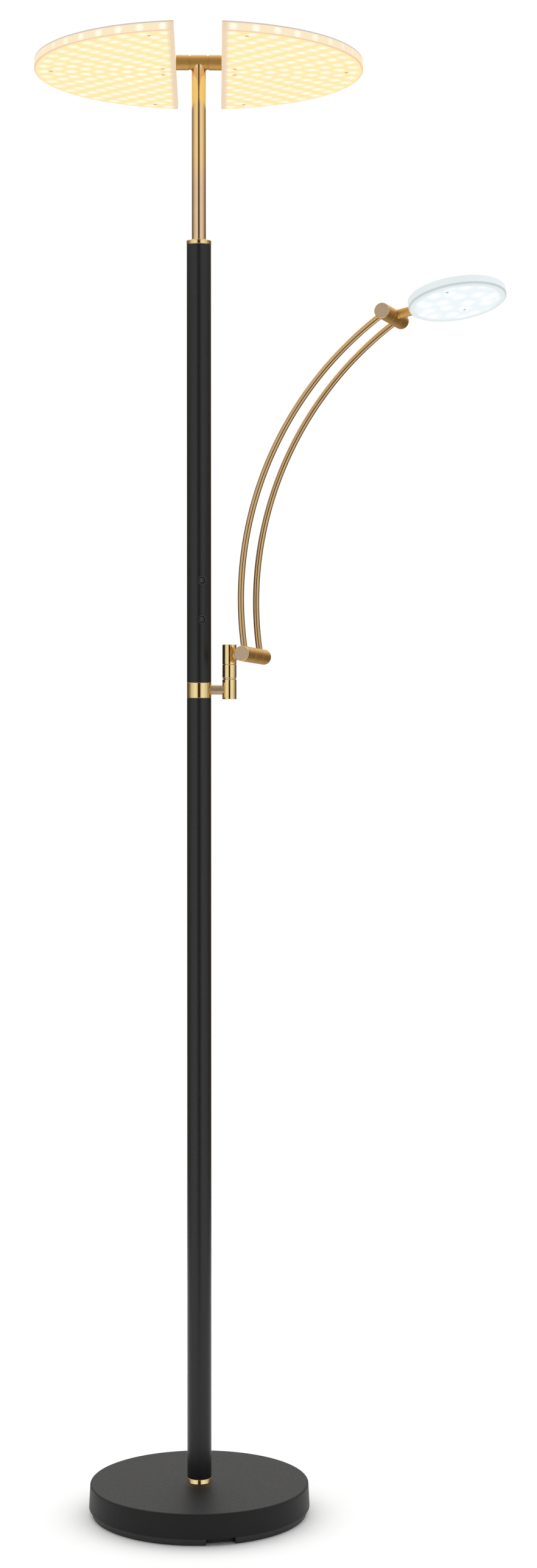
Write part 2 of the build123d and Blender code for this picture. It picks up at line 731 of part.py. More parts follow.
def add_buttons():
    """Nodes of the two dimmers."""
    frames = [button_frame(z) for z in BUTTON_Z]
    PARTS["dimmer_bezels"] = grouped([frame * bezel() for frame in frames])
    PARTS["dimmer_switches"] = grouped([frame * switch_module() for frame in frames])
    PARTS["lower_button"] = frames[0] * button(True)
    PARTS["upper_button"] = frames[1] * button(False)


def add_head():
    """Nodes of the tee and the two light panels."""
    PARTS["t_fitting"] = t_fitting()
    PARTS["t_washers"] = t_washers()
    PARTS["t_axle"] = t_axle()
    panel_nodes("right", False)
    panel_nodes("left", True)


def add_arm():
    """Nodes of the swivel barrel, the knuckles and the arm's tubes."""
    PARTS["arm_stub"] = arm_stub()
    PARTS["barrel_lower"] = barrel_lower()
    PARTS["barrel_washer"] = barrel_washer()
    PARTS["swivel_bolt"] = swivel_bolt()
    PARTS["barrel_middle"] = barrel_middle()
    PARTS["barrel_upper"] = barrel_upper()
    PARTS["knuckle_stub"] = knuckle_stub()
    PARTS["lower_knuckle_middle"] = LOWER * knuckle_middle() - knuckle_stub()
    PARTS["lower_knuckle_front"] = LOWER * knuckle_end() - arm_seat(1)
    PARTS["lower_knuckle_rear"] = LOWER * FLIP * knuckle_end() - arm_seat(-1)
    PARTS["knuckle_pins"] = grouped([LOWER * knuckle_pin(), UPPER * knuckle_pin()])
    washers = [knuckle_washer(), FLIP * knuckle_washer()]
    PARTS["knuckle_washers"] = grouped([frame * w for frame in (LOWER, UPPER) for w in washers])
    PARTS["rod_front"] = arm_tube(1)
    PARTS["rod_rear"] = arm_tube(-1)
    PARTS["upper_knuckle_front"] = UPPER * knuckle_end() - arm_seat(1)
    PARTS["upper_knuckle_rear"] = UPPER * FLIP * knuckle_end() - arm_seat(-1)
    PARTS["upper_knuckle_middle"] = upper_knuckle_middle()


def add_reading_head():
    """Nodes of the reading disc."""
    PARTS["reading_stem"] = reading_stem()
    PARTS["reading_cover"] = reading_cover()
    PARTS["reading_diffuser"] = reading_diffuser()
    PARTS["reading_led_board"] = reading_led_board()
    PARTS["reading_screws"] = reading_screws()


add_base()
add_pole()
add_buttons()
add_head()
add_arm()
add_reading_head()

os.makedirs("parts", exist_ok=True)
for name, shape in PARTS.items():
    export_step(shape, "parts/" + name + ".step")
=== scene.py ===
import json
from math import asin, atan2, cos, pi, radians, sin, sqrt, tan

import bmesh
import bpy
from bpy.props import FloatProperty, FloatVectorProperty, IntProperty, PointerProperty
from mathutils import Matrix, Vector


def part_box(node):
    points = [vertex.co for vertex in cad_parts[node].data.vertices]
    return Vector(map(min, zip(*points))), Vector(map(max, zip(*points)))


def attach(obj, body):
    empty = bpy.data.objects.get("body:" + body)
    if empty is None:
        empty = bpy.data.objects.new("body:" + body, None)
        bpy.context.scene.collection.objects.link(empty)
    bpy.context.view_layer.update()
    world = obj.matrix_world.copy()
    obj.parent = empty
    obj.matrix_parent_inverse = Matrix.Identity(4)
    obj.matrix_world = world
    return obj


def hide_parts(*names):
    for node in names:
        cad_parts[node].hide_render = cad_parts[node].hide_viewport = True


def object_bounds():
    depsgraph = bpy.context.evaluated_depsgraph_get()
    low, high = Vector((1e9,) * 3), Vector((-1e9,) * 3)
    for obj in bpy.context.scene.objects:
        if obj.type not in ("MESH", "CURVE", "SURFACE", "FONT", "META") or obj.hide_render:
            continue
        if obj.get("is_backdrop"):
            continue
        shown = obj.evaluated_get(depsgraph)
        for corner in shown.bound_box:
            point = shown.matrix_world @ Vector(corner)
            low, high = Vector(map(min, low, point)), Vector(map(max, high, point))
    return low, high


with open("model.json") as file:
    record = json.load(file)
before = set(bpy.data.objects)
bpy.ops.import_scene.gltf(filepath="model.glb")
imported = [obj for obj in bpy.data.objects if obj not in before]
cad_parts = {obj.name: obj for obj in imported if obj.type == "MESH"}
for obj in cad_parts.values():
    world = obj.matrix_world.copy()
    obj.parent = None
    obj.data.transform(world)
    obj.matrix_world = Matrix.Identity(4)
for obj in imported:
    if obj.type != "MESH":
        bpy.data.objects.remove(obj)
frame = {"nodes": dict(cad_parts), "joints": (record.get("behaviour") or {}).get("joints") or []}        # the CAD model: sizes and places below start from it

bl_info = {
    "name": "Torchiere floor lamp",
    "version": (1, 0, 0),
    "blender": (4, 5, 0),
    "location": "3D View > Sidebar > Lamp",
    "description": "Finishes a floor lamp with two tilting light panels and a reading arm",
    "category": "Add Mesh",
}

CAD_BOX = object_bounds()
MM = 0.001


# ---- colours and sizes
def linear(hex_colour):
    """An sRGB hex colour as the linear numbers that shaders take."""
    parts = [int(hex_colour[i:i + 2], 16) / 255 for i in (1, 3, 5)]
    return [v / 12.92 if v <= 0.04045 else ((v + 0.055) / 1.055) ** 2.4 for v in parts]


def colour(label, about, hex_colour):
    """A colour setting of the lamp."""
    return FloatVectorProperty(name=label, description=about, subtype="COLOR", size=3,
                               min=0, max=1, default=linear(hex_colour))


def length(label, about, millimetres):
    """A size setting of the lamp."""
    return FloatProperty(name=label, description=about, unit="LENGTH", min=0,
                         default=millimetres * MM)


def turn_angle(label, about, in_degrees):
    """An angle setting of the lamp."""
    return FloatProperty(name=label, description=about, unit="ROTATION",
                         default=radians(in_degrees))


class LampSizes(bpy.types.PropertyGroup):
    """Sizes that finish the lamp's pieces."""
    round_steps: IntProperty(
        name="Round steps", description="Sides of a turned piece", default=96, min=24)
    notch_start: turn_angle(
        "Notch start", "Angle of the cable notch's right side from the front", 19.3)
    notch_span: turn_angle("Notch span", "Width of the cable notch", 15.6)
    panel_rest_tilt: turn_angle("Panel tilt", "Front edge of the panels above level", 1.3)
    panel_corner: length("Panel corner", "Rounding of a panel's lower edge", 1.5)
    panel_wall: length("Panel wall", "Wall of a light panel", 2.0)
    led_pitch: length("LED pitch", "Distance of the LEDs along a ring", 26.0)
    led_ring_pitch: length("LED ring pitch", "Distance between the LED rings", 16.9)
    led_outer_ring: length("Outer LED ring", "Radius of the outermost LED ring", 190.0)
    arm_bend: length("Arm bend", "Bending radius of the arm's tubes", 404.5)
    arm_tube: length("Arm tube", "Radius of the arm's tubes", 3.9)
    arm_tube_offset: length("Tube offset", "Distance of a tube from the arm's middle", 26.0)
    knuckle_radius: length("Knuckle radius", "Radius of the knuckles", 9.5)
    knuckle_half: length("Knuckle half", "Half the length of a knuckle", 39.0)
    disc_reach: length("Disc reach", "From the upper knuckle's pin to the disc's centre", 84.0)
    disc_radius: length("Disc radius", "Radius of the reading disc", 59.3)
    disc_thickness: length("Disc thickness", "Thickness of the reading disc", 12.0)
    disc_turn: turn_angle("Disc turn", "Turn of the reading disc on its stem", -7.4)


class LampColours(bpy.types.PropertyGroup):
    """Colours of the lamp's finishes."""
    pole_paint: colour("Pole paint", "Satin black powder coat of the pole", "#1c1c1d")
    base_paint: colour("Base paint", "Textured black powder coat of the base", "#181818")
    black_plastic: colour("Black plastic", "Moulded foot ring and buttons", "#181819")
    polished_brass: colour("Polished brass", "Collars and barrel", "#e4cc94")
    tube_brass: colour("Tube brass", "Bent tubes of the arm", "#c6a678")
    satin_brass: colour("Satin brass", "Tee and knuckles", "#cba05a")
    pale_brass: colour("Pale brass", "Stem above the pole", "#dabb98")
    # painted light: the warm reflection of the light panels on the stem, laid on as a colour
    painted_stem_glow: colour("Golden brass", "Stem below the tee", "#eac88c")
    champagne_face: colour("Faced brass", "Stubs and faced ends of the knuckles", "#bba386")
    warm_light: colour("Warm light", "Glow between the LEDs of the light panels", "#ffe8ac")
    warm_spot: colour("Warm spot", "Glow over an LED of the light panels", "#ffffe8")
    warm_edge: colour("Warm edge", "Glow in the rim of the light panels", "#f7e5c3")
    warm_cut: colour("Warm cut", "Glow in the straight edges of the light panels", "#e8cfb2")
    warm_line: colour("Warm line", "Lower edge of the light panels' rim", "#f2cbaa")
    warm_lid: colour("Warm lid", "Glow in the lids' edges", "#dfd0c3")
    cool_light: colour("Cool light", "Glow of the reading disc", "#f2fbff")
    cool_side: colour("Cool side", "Side of the reading disc", "#e5edef")
    cool_ring: colour("Cool ring", "Outer ring of the reading disc's underside", "#dfe8ea")
    cool_line: colour("Cool line", "Rounded edge of the reading disc", "#c6ced0")


def sizes():
    """The lamp's size settings."""
    return bpy.context.scene.lamp_sizes


def colours():
    """The lamp's colour settings."""
    return bpy.context.scene.lamp_colours


# ---- places
JOINTS = {joint["name"]: joint for joint in frame["joints"]}


def axis_of(joint):
    """The direction of a joint's axis."""
    return Vector(JOINTS[joint]["axis"]).normalized()


def place_at(origin, x, y, z):
    """A place from its origin and its three directions."""
    columns = Matrix((x, y, z)).transposed().to_4x4()
    return Matrix.Translation(origin) @ columns


def along_x(origin, sign=1):
    """A place whose Z points along X, for pieces turned about a level line."""
    return place_at(origin, Vector((0, 0, -sign)), Vector((0, 1, 0)), Vector((sign, 0, 0)))


def knuckle_place(joint):
    """A knuckle's place: X out along the arm, Y up, Z along the pin to the front."""
    back = axis_of(joint)
    out = back.cross(Vector((0, 0, 1))).normalized()
    return place_at(Vector(JOINTS[joint]["pos_m"]), out, out.cross(back), -back)


def stem_place():
    """The reading stem's place on the upper pin: Z along the stem, X to the back."""
    stem, back = axis_of("reading_head_twist"), axis_of("reading_head_tilt")
    origin = Vector(JOINTS["reading_head_tilt"]["pos_m"])
    return place_at(origin, back, stem.cross(back), stem)


def disc_place():
    """The reading disc's place: Z along its upward normal, X out along the stem."""
    stem, back = axis_of("reading_head_twist"), axis_of("reading_head_tilt")
    normal = stem.cross(back)
    turn = Matrix.Rotation(sizes().disc_turn, 3, stem)
    origin = Vector(JOINTS["reading_head_tilt"]["pos_m"]) + stem * sizes().disc_reach
    return place_at(origin, stem, turn @ back, turn @ normal)


def panel_place():
    """The panels' place: the tee's centre, tipped by the rest tilt."""
    tee = Vector((0, 0, JOINTS["right_panel_tilt"]["pos_m"][2]))
    return Matrix.Translation(tee) @ Matrix.Rotation(-sizes().panel_rest_tilt, 4, "X")


def button_place(joint, node):
    """A button's place on the pole's axis: Z points out through the button."""
    out = -axis_of(joint)
    low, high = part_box(node)
    origin = Vector((0, 0, (low.z + high.z) / 2))
    return place_at(origin, Vector((0, 0, 1)).cross(out), Vector((0, 0, 1)), out)


# ---- modelling
def deselect():
    """Leave nothing selected, so that an operator acts on its own piece only."""
    bpy.ops.object.select_all(action="DESELECT")


def focus(piece):
    """Make a piece the only selected and the active one."""
    deselect()
    piece.select_set(True)
    bpy.context.view_layer.objects.active = piece


def edit(piece):
    """Open a piece for editing with all of it selected."""
    focus(piece)
    bpy.ops.object.mode_set(mode="EDIT")
    bpy.ops.mesh.select_all(action="SELECT")


def pick(piece, kind, test):
    """In edit mode, select the verts, edges or faces that pass a test on their middle."""
    bpy.ops.mesh.select_mode(type={"verts": "VERT", "edges": "EDGE", "faces": "FACE"}[kind])
    bpy.ops.mesh.select_all(action="DESELECT")
    mesh = bmesh.from_edit_mesh(piece.data)
    mesh.normal_update()
    for item in getattr(mesh, kind):
        if test(item):
            item.select_set(True)
    mesh.select_flush_mode()
    bmesh.update_edit_mesh(piece.data)


def close_up():
    """In edit mode, merge doubles, face outwards and leave edit mode."""
    bpy.ops.mesh.select_all(action="SELECT")
    bpy.ops.mesh.remove_doubles(threshold=0.005 * MM)
    bpy.ops.mesh.normals_make_consistent(inside=False)
    bpy.ops.object.mode_set(mode="OBJECT")


def settle(piece, place=None):
    """Put a piece at its place and bring the place into its mesh."""
    if place is not None:
        piece.matrix_world = place @ piece.matrix_world
    focus(piece)
    bpy.ops.object.transform_apply(location=True, rotation=True, scale=True)
    return piece


def apply_modifier(piece, kind, **settings):
    """Finish a piece with one modifier."""
    focus(piece)
    modifier = piece.modifiers.new(kind.title(), kind)
    for key, value in settings.items():
        setattr(modifier, key, value)
    bpy.ops.object.modifier_apply(modifier=modifier.name)


def join(pieces):
    """Make several shapes one piece."""
    focus(pieces[0])
    for other in pieces[1:]:
        other.select_set(True)
    bpy.ops.object.join()
    return pieces[0]


def copy_of(piece):
    """A copy with its own mesh."""
    focus(piece)
    bpy.ops.object.duplicate(linked=False)
    return bpy.context.object


def cut(piece, tool):
    """Cut a tool's shape out of a piece and throw the tool away."""
    apply_modifier(piece, "BOOLEAN", operation="DIFFERENCE", object=tool, solver="EXACT")
    bpy.data.objects.remove(tool)


def softened(corners, steps=4):
    """Stations of a profile in metres; a corner's third value rounds it."""
    stations = []
    for i, corner in enumerate(corners):
        here = Vector(corner[:2])
        radius = corner[2] if len(corner) > 2 else 0
        if not radius:
            stations.append(here)
            continue
        back = (Vector(corners[i - 1][:2]) - here).normalized()
        ahead = (Vector(corners[(i + 1) % len(corners)][:2]) - here).normalized()
        half = back.angle(ahead) / 2
        middle = here + (back + ahead).normalized() * (radius / sin(half))
        first = here + back * (radius / tan(half)) - middle
        last = here + ahead * (radius / tan(half)) - middle
        sweep = first.angle(last)
        for step in range(steps + 1):
            share = step / steps
            lead = first * sin((1 - share) * sweep) + last * sin(share * sweep)
            stations.append(middle + lead / sin(sweep))
    return [station * MM for station in stations]


def sleeve(inner, outer, low, high, first=0, last=0):
    """Profile of a ring, or of a rod with no inner radius; the last two round its edges."""
    return [(inner, low), (outer, low, first), (outer, high, last), (inner, high)]


def shifted(x, y, z=0.0):
    """A place moved from the origin by millimetres."""
    return Matrix.Translation(Vector((x, y, z)) * MM)


SMOOTH_ANGLE = radians(32)
FINE_EDGE = 0.3     # usual rounding of a turned piece's edges
AXIS_RADIUS = 1e-6  # radius of a ring that is merged into one point on the axis
LEVEL_SLACK = 1e-5  # a point this near a level lies on it


def turned(corners, place=None, segments=None, steps=4):
    """Turn a profile of (radius, height, rounding) in millimetres about Z.

    A circle is extruded and scaled from station to station. A profile that starts off
    the axis is closed into a ring.
    """
    stations = softened(corners, steps)
    rings = [(max(radius, AXIS_RADIUS), height) for radius, height in stations]
    if corners[0][0] > 0:
        rings.append(rings[0])
    deselect()
    bpy.ops.mesh.primitive_circle_add(vertices=segments or sizes().round_steps,
                                      radius=rings[0][0], location=(0, 0, rings[0][1]))
    piece = bpy.context.object
    settle(piece)
    edit(piece)
    for (radius, height), (next_radius, next_height) in zip(rings, rings[1:]):
        rise = (0, 0, next_height - height)
        bpy.ops.mesh.extrude_edges_move(TRANSFORM_OT_translate={"value": rise})
        scale = next_radius / radius
        bpy.ops.transform.resize(value=(scale, scale, 1), center_override=(0, 0, next_height))
    close_up()
    return settle(piece, place)


def box_tool(low, high, place=None):
    """A cutting block between two corners, in millimetres."""
    low, high = Vector(low) * MM, Vector(high) * MM
    deselect()
    bpy.ops.mesh.primitive_cube_add(size=1, location=(low + high) / 2, scale=high - low)
    return settle(bpy.context.object, place)


def finish(piece, name, body, node, slot, look=None):
    """Name, smooth and paint a piece, and let it stand for its CAD node.

    Its finish is the slot's own unless another is named.
    """
    focus(piece)
    piece.name = name
    piece.data.name = name
    bpy.ops.object.shade_smooth_by_angle(angle=SMOOTH_ANGLE)
    apply_modifier(piece, "WEIGHTED_NORMAL", keep_sharp=True)
    piece.data.materials.clear()
    piece.data.materials.append(FINISHES[look or slot])
    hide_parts(node)
    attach(piece, body)


# ---- materials
def connect(tree, node, inputs):
    """Set a node's inputs, by name or place in a dict, or in order.

    An input is a value, a colour, a socket to link from, or a node for its first output.
    """
    for key, value in inputs.items() if isinstance(inputs, dict) else enumerate(inputs):
        socket = node.inputs[key]
        if isinstance(value, bpy.types.Node):
            value = value.outputs[0]
        if isinstance(value, bpy.types.NodeSocket):
            tree.links.new(value, socket)
        elif socket.type == "RGBA":
            socket.default_value = (*value[:3], 1)
        else:
            socket.default_value = value


def add(tree, kind, inputs=(), **settings):
    """Add a shader node with its settings and links."""
    made = tree.nodes.new("ShaderNode" + kind)
    for key, value in settings.items():
        setattr(made, key, value)
    connect(tree, made, inputs)
    return made


def start_material(name):
    """A new material with a Principled shader and its Object coordinates."""
    material = bpy.data.materials.new(name)
    material.use_nodes = True
    tree = material.node_tree
    tree.nodes.clear()
    shader = add(tree, "BsdfPrincipled")
    add(tree, "OutputMaterial", {"Surface": shader})
    return material, tree, shader, add(tree, "TexCoord").outputs["Object"]


def scale_of(millimetres):
    """The scale of a noise whose features are this big."""
    return 1 / (millimetres * MM)


def shade(rgb, factor):
    """A colour made lighter or darker."""
    return [min(1.0, part * factor) for part in rgb]


RGBA = {"data_type": "RGBA"}     # settings of a mix of colours
NOISE_SPAN = (0.3, 0.7)     # a noise stays between these values nearly everywhere
CLOUD = 12.0                # size of the faint clouds in a finish
MARKS = 1.5                 # spacing of tool marks, before they are drawn out


def coated(name, rgb, roughness, grain, depth, mottle=CLOUD, specular=0.5):
    """A dull coating: colour and gloss drift over the surface and fine grain breaks it."""
    material, tree, shader, coords = start_material(name)
    drift = add(tree, "TexNoise", {"Vector": coords, "Scale": scale_of(mottle), "Detail": 3.0})
    tint = add(tree, "Mix", {0: drift, 6: shade(rgb, 0.88), 7: shade(rgb, 1.12)}, **RGBA)
    patches = add(tree, "TexNoise",
                  {"Vector": coords, "Scale": scale_of(mottle / 3), "Detail": 2.0})
    gloss = add(tree, "MapRange", (patches, *NOISE_SPAN, roughness - 0.02, roughness + 0.02))
    grit = add(tree, "TexNoise", {"Vector": coords, "Scale": scale_of(grain), "Detail": 3.0})
    bump = add(tree, "Bump", {"Height": grit, "Strength": 0.35, "Distance": depth * MM})
    connect(tree, shader, {"Base Color": tint.outputs[2], "Roughness": gloss,
                           "Specular IOR Level": specular, "Normal": bump})
    return material


PAINTED_GLOW_FADE = 18 * MM      # half the height over which painted warm light fades in on the stem
PAINTED_GLOW_SHARE = 0.615        # how far down from the tee the stem carries painted warm light from the panels


def metal(name, rgb, roughness, stretch, relief=0.0, upper=None):
    """A bare or lacquered metal with faint marks drawn out along one direction.

    upper is the colour of painted warm light laid over it above a height, and that height.
    """
    material, tree, shader, coords = start_material(name)
    drawn = add(tree, "Mapping", {"Vector": coords, "Scale": stretch})
    marks = add(tree, "TexNoise", {"Vector": drawn, "Scale": scale_of(MARKS), "Detail": 2.0})
    clouds = add(tree, "TexNoise", {"Vector": coords, "Scale": scale_of(CLOUD), "Detail": 3.0})
    tint = add(tree, "Mix", {0: clouds, 6: shade(rgb, 0.94), 7: shade(rgb, 1.06)}, **RGBA)
    # painted light: above the height the colour gives way to a warm reflection
    if upper:
        painted_glow, level = upper
        height = add(tree, "SeparateXYZ", (coords,)).outputs[2]
        share = add(tree, "MapRange",
                    (height, level - PAINTED_GLOW_FADE, level + PAINTED_GLOW_FADE, 0.0, 1.0))
        tint = add(tree, "Mix", {0: share, 6: tint.outputs[2], 7: painted_glow}, **RGBA)
    gloss = add(tree, "MapRange", (marks, *NOISE_SPAN, roughness * 0.85, roughness * 1.15))
    connect(tree, shader, {"Base Color": tint.outputs[2], "Metallic": 1.0, "Roughness": gloss})
    if relief:
        bump = add(tree, "Bump", {"Height": marks, "Strength": 0.2, "Distance": relief * MM})
        connect(tree, shader, {"Normal": bump})
    return material


def felt(name, rgb):
    """Pressed wool felt: matt, with short fibres in all directions."""
    material, tree, shader, coords = start_material(name)
    fibres = add(tree, "TexNoise", {"Vector": coords, "Scale": scale_of(1.2), "Detail": 6.0})
    tint = add(tree, "Mix", {0: fibres, 6: shade(rgb, 0.7), 7: shade(rgb, 1.3)}, **RGBA)
    bump = add(tree, "Bump", {"Height": fibres, "Strength": 0.8, "Distance": 0.15 * MM})
    connect(tree, shader, {"Base Color": tint.outputs[2], "Roughness": 0.95,
                           "Sheen Weight": 0.3, "Normal": bump})
    return material


# ---- lit acrylic
BLACK, WHITE = linear("#000000"), linear("#ffffff")
UNLIT_SHARE = 0.7           # a lit acrylic's own colour counts for the rest beside its glow
ACRYLIC_IOR = 1.49
LED_HEIGHT = -6.6 * MM      # middle of a rim's bright spot below the tee's axis
LED_SPOT = (1.0 * MM, 11.0 * MM)            # an LED's glow fades out between these radii
RIM_SPOT = (1.0 * MM, 6.5 * MM)             # the same in the rim
RIM_FACING = (60.0 * MM, 170.0 * MM)        # the rim's spots come up between these depths
RIM_LINE = (-11.2 * MM, -10.2 * MM)         # height of the line along the rim's lower edge
RIM_RADIUS = 200.0 * MM                     # the rim starts here
CUT_EDGE = (31.0 * MM, 38.0 * MM)           # the straight edge's colour fades out here
CUT_SHARE = 0.9
DISC_INNER = (48.0 * MM, 55.0 * MM)         # the disc's ring takes over between these radii
DISC_EDGE = (57.4 * MM, 58.4 * MM)          # and the line of its rounded edge here
DISC_LED_PITCH = 21.0
SOFT = {"interpolation_type": "SMOOTHSTEP"}     # settings of a fade with soft ends


def in_place(tree, coords, place):
    """X, Y and Z of a point in a piece's own place."""
    local = add(tree, "Mapping", {"Vector": coords, "Location": place.to_translation(),
                                  "Rotation": place.to_euler()}, vector_type="TEXTURE")
    return add(tree, "SeparateXYZ", (local,)).outputs


def hypotenuse(tree, first, second):
    """The length of two sides at a right angle."""
    squares = [add(tree, "Math", (side, side), operation="MULTIPLY")
               for side in (first, second)]
    return add(tree, "Math", (add(tree, "Math", squares, operation="ADD"),),
               operation="SQRT")


def led_grid(tree, x, y, radius):
    """How far a point is from an LED, and aside of it along its ring.

    The LEDs stand staggered on half rings about the pole.
    """
    size = sizes()
    outer, pitch = size.led_outer_ring, size.led_ring_pitch
    sums = (("inward", "SUBTRACT", outer, "radius"), ("step", "DIVIDE", "inward", pitch),
            ("whole", "ROUND", "step"), ("ring", "MAXIMUM", "whole", 0.0),
            ("depth", "MULTIPLY", "ring", pitch), ("ring_radius", "SUBTRACT", outer, "depth"),
            ("fitting", "MULTIPLY", "ring_radius", pi / size.led_pitch),
            ("count", "ROUND", "fitting"), ("angle", "ARCTAN2", "y", "x"),
            ("turns", "DIVIDE", "angle", pi), ("half_turns", "ADD", "turns", 0.5),
            ("places", "MULTIPLY", "half_turns", "count"), ("stagger", "MULTIPLY", "ring", 0.5),
            ("staggered", "ADD", "places", "stagger"), ("along", "FRACT", "staggered"),
            ("arc", "MULTIPLY", "ring_radius", pi), ("spacing", "DIVIDE", "arc", "count"),
            ("off", "SUBTRACT", "along", 0.5), ("aside", "MULTIPLY", "off", "spacing"),
            ("across", "SUBTRACT", "radius", "ring_radius"))
    known = {"x": x, "y": y, "radius": radius}
    for name, operation, *values in sums:
        known[name] = add(tree, "Math", [known.get(value, value) for value in values],
                          operation=operation)
    return hypotenuse(tree, known["aside"], known["across"]), known["aside"]


def light_up(tree, shader, glow, coords, strength):
    """Finish a lit acrylic: glow, what it reflects of the room, and its frosting."""
    dim = add(tree, "Mix", {0: UNLIT_SHARE, 6: glow, 7: BLACK}, **RGBA)
    frost = add(tree, "TexNoise", {"Vector": coords, "Scale": scale_of(2.0), "Detail": 2.0})
    gloss = add(tree, "MapRange", (frost, *NOISE_SPAN, 0.42, 0.5))
    connect(tree, shader, {"Base Color": dim.outputs[2], "Emission Color": glow,
                           "Emission Strength": strength, "IOR": ACRYLIC_IOR,
                           "Roughness": gloss})


def lit_acrylic(name, strength, spot_share, edge):
    """Frosted acrylic lit from inside by rows of LEDs, greyer in its edges."""
    material, tree, shader, coords = start_material(name)
    tone = colours()
    side, y, z = in_place(tree, coords, panel_place())
    x = add(tree, "Math", (side,), operation="ABSOLUTE")
    radius = hypotenuse(tree, x, y)
    distance, aside = led_grid(tree, x, y, radius)
    spot = add(tree, "MapRange", (distance, *LED_SPOT, spot_share, 0.0), **SOFT)
    under = add(tree, "Mix", {0: spot, 6: tone.warm_light, 7: tone.warm_spot}, **RGBA)

    rise = add(tree, "Math", (z, LED_HEIGHT), operation="SUBTRACT")
    near = add(tree, "MapRange", (hypotenuse(tree, aside, rise), *RIM_SPOT, 1.0, 0.0), **SOFT)
    depth = add(tree, "Math", (y,), operation="ABSOLUTE")
    facing = add(tree, "MapRange", (depth, *RIM_FACING, 0.0, spot_share))
    spot = add(tree, "Math", (near, facing), operation="MULTIPLY")
    rim = add(tree, "Mix", {0: spot, 6: edge, 7: tone.warm_spot}, **RGBA)
    low = add(tree, "MapRange", (z, *RIM_LINE, 1.0, 0.0), **SOFT)
    rim = add(tree, "Mix", {0: low, 6: rim.outputs[2], 7: tone.warm_line}, **RGBA)

    at_rim = add(tree, "Math", (radius, RIM_RADIUS), operation="GREATER_THAN")
    glow = add(tree, "Mix", {0: at_rim, 6: under.outputs[2], 7: rim.outputs[2]}, **RGBA)
    at_cut = add(tree, "MapRange", (x, *CUT_EDGE, CUT_SHARE, 0.0), **SOFT)
    glow = add(tree, "Mix", {0: at_cut, 6: glow.outputs[2], 7: tone.warm_cut}, **RGBA)
    light_up(tree, shader, glow.outputs[2], coords, strength)
    return material


def lit_disc(name, strength):
    """Frosted acrylic of the reading disc's underside, brightest over its LEDs."""
    material, tree, shader, coords = start_material(name)
    tone = colours()
    x, y, height = in_place(tree, coords, disc_place())
    radius = hypotenuse(tree, x, y)
    flat = add(tree, "CombineXYZ", (x, y))
    nearest = add(tree, "TexVoronoi", {"Vector": flat, "Scale": scale_of(DISC_LED_PITCH),
                                       "Randomness": 0.6}, voronoi_dimensions="2D")
    spots = add(tree, "MapRange", (nearest, 0.0, 0.6, 1.0, 0.0), **SOFT)
    glow = add(tree, "Mix", {0: spots, 6: shade(tone.cool_light, 0.93), 7: WHITE}, **RGBA)
    for fade, outside in ((DISC_INNER, tone.cool_ring), (DISC_EDGE, tone.cool_line)):
        inside = add(tree, "MapRange", (radius, *fade, 1.0, 0.0), **SOFT)
        glow = add(tree, "Mix", {0: inside, 6: outside, 7: glow.outputs[2]}, **RGBA)
    light_up(tree, shader, glow.outputs[2], coords, strength)
    return material


def lit_cover(name, strength):
    """Frosted acrylic of the reading disc's cover, evenly lit with a faint mist."""
    material, tree, shader, coords = start_material(name)
    rgb = colours().cool_side
    mist = add(tree, "TexNoise", {"Vector": coords, "Scale": scale_of(30.0), "Detail": 2.0})
    glow = add(tree, "Mix", {0: mist, 6: shade(rgb, 0.98), 7: shade(rgb, 1.02)}, **RGBA)
    light_up(tree, shader, glow.outputs[2], coords, strength)
    return material


# ---- finishes
FINISHES = {}


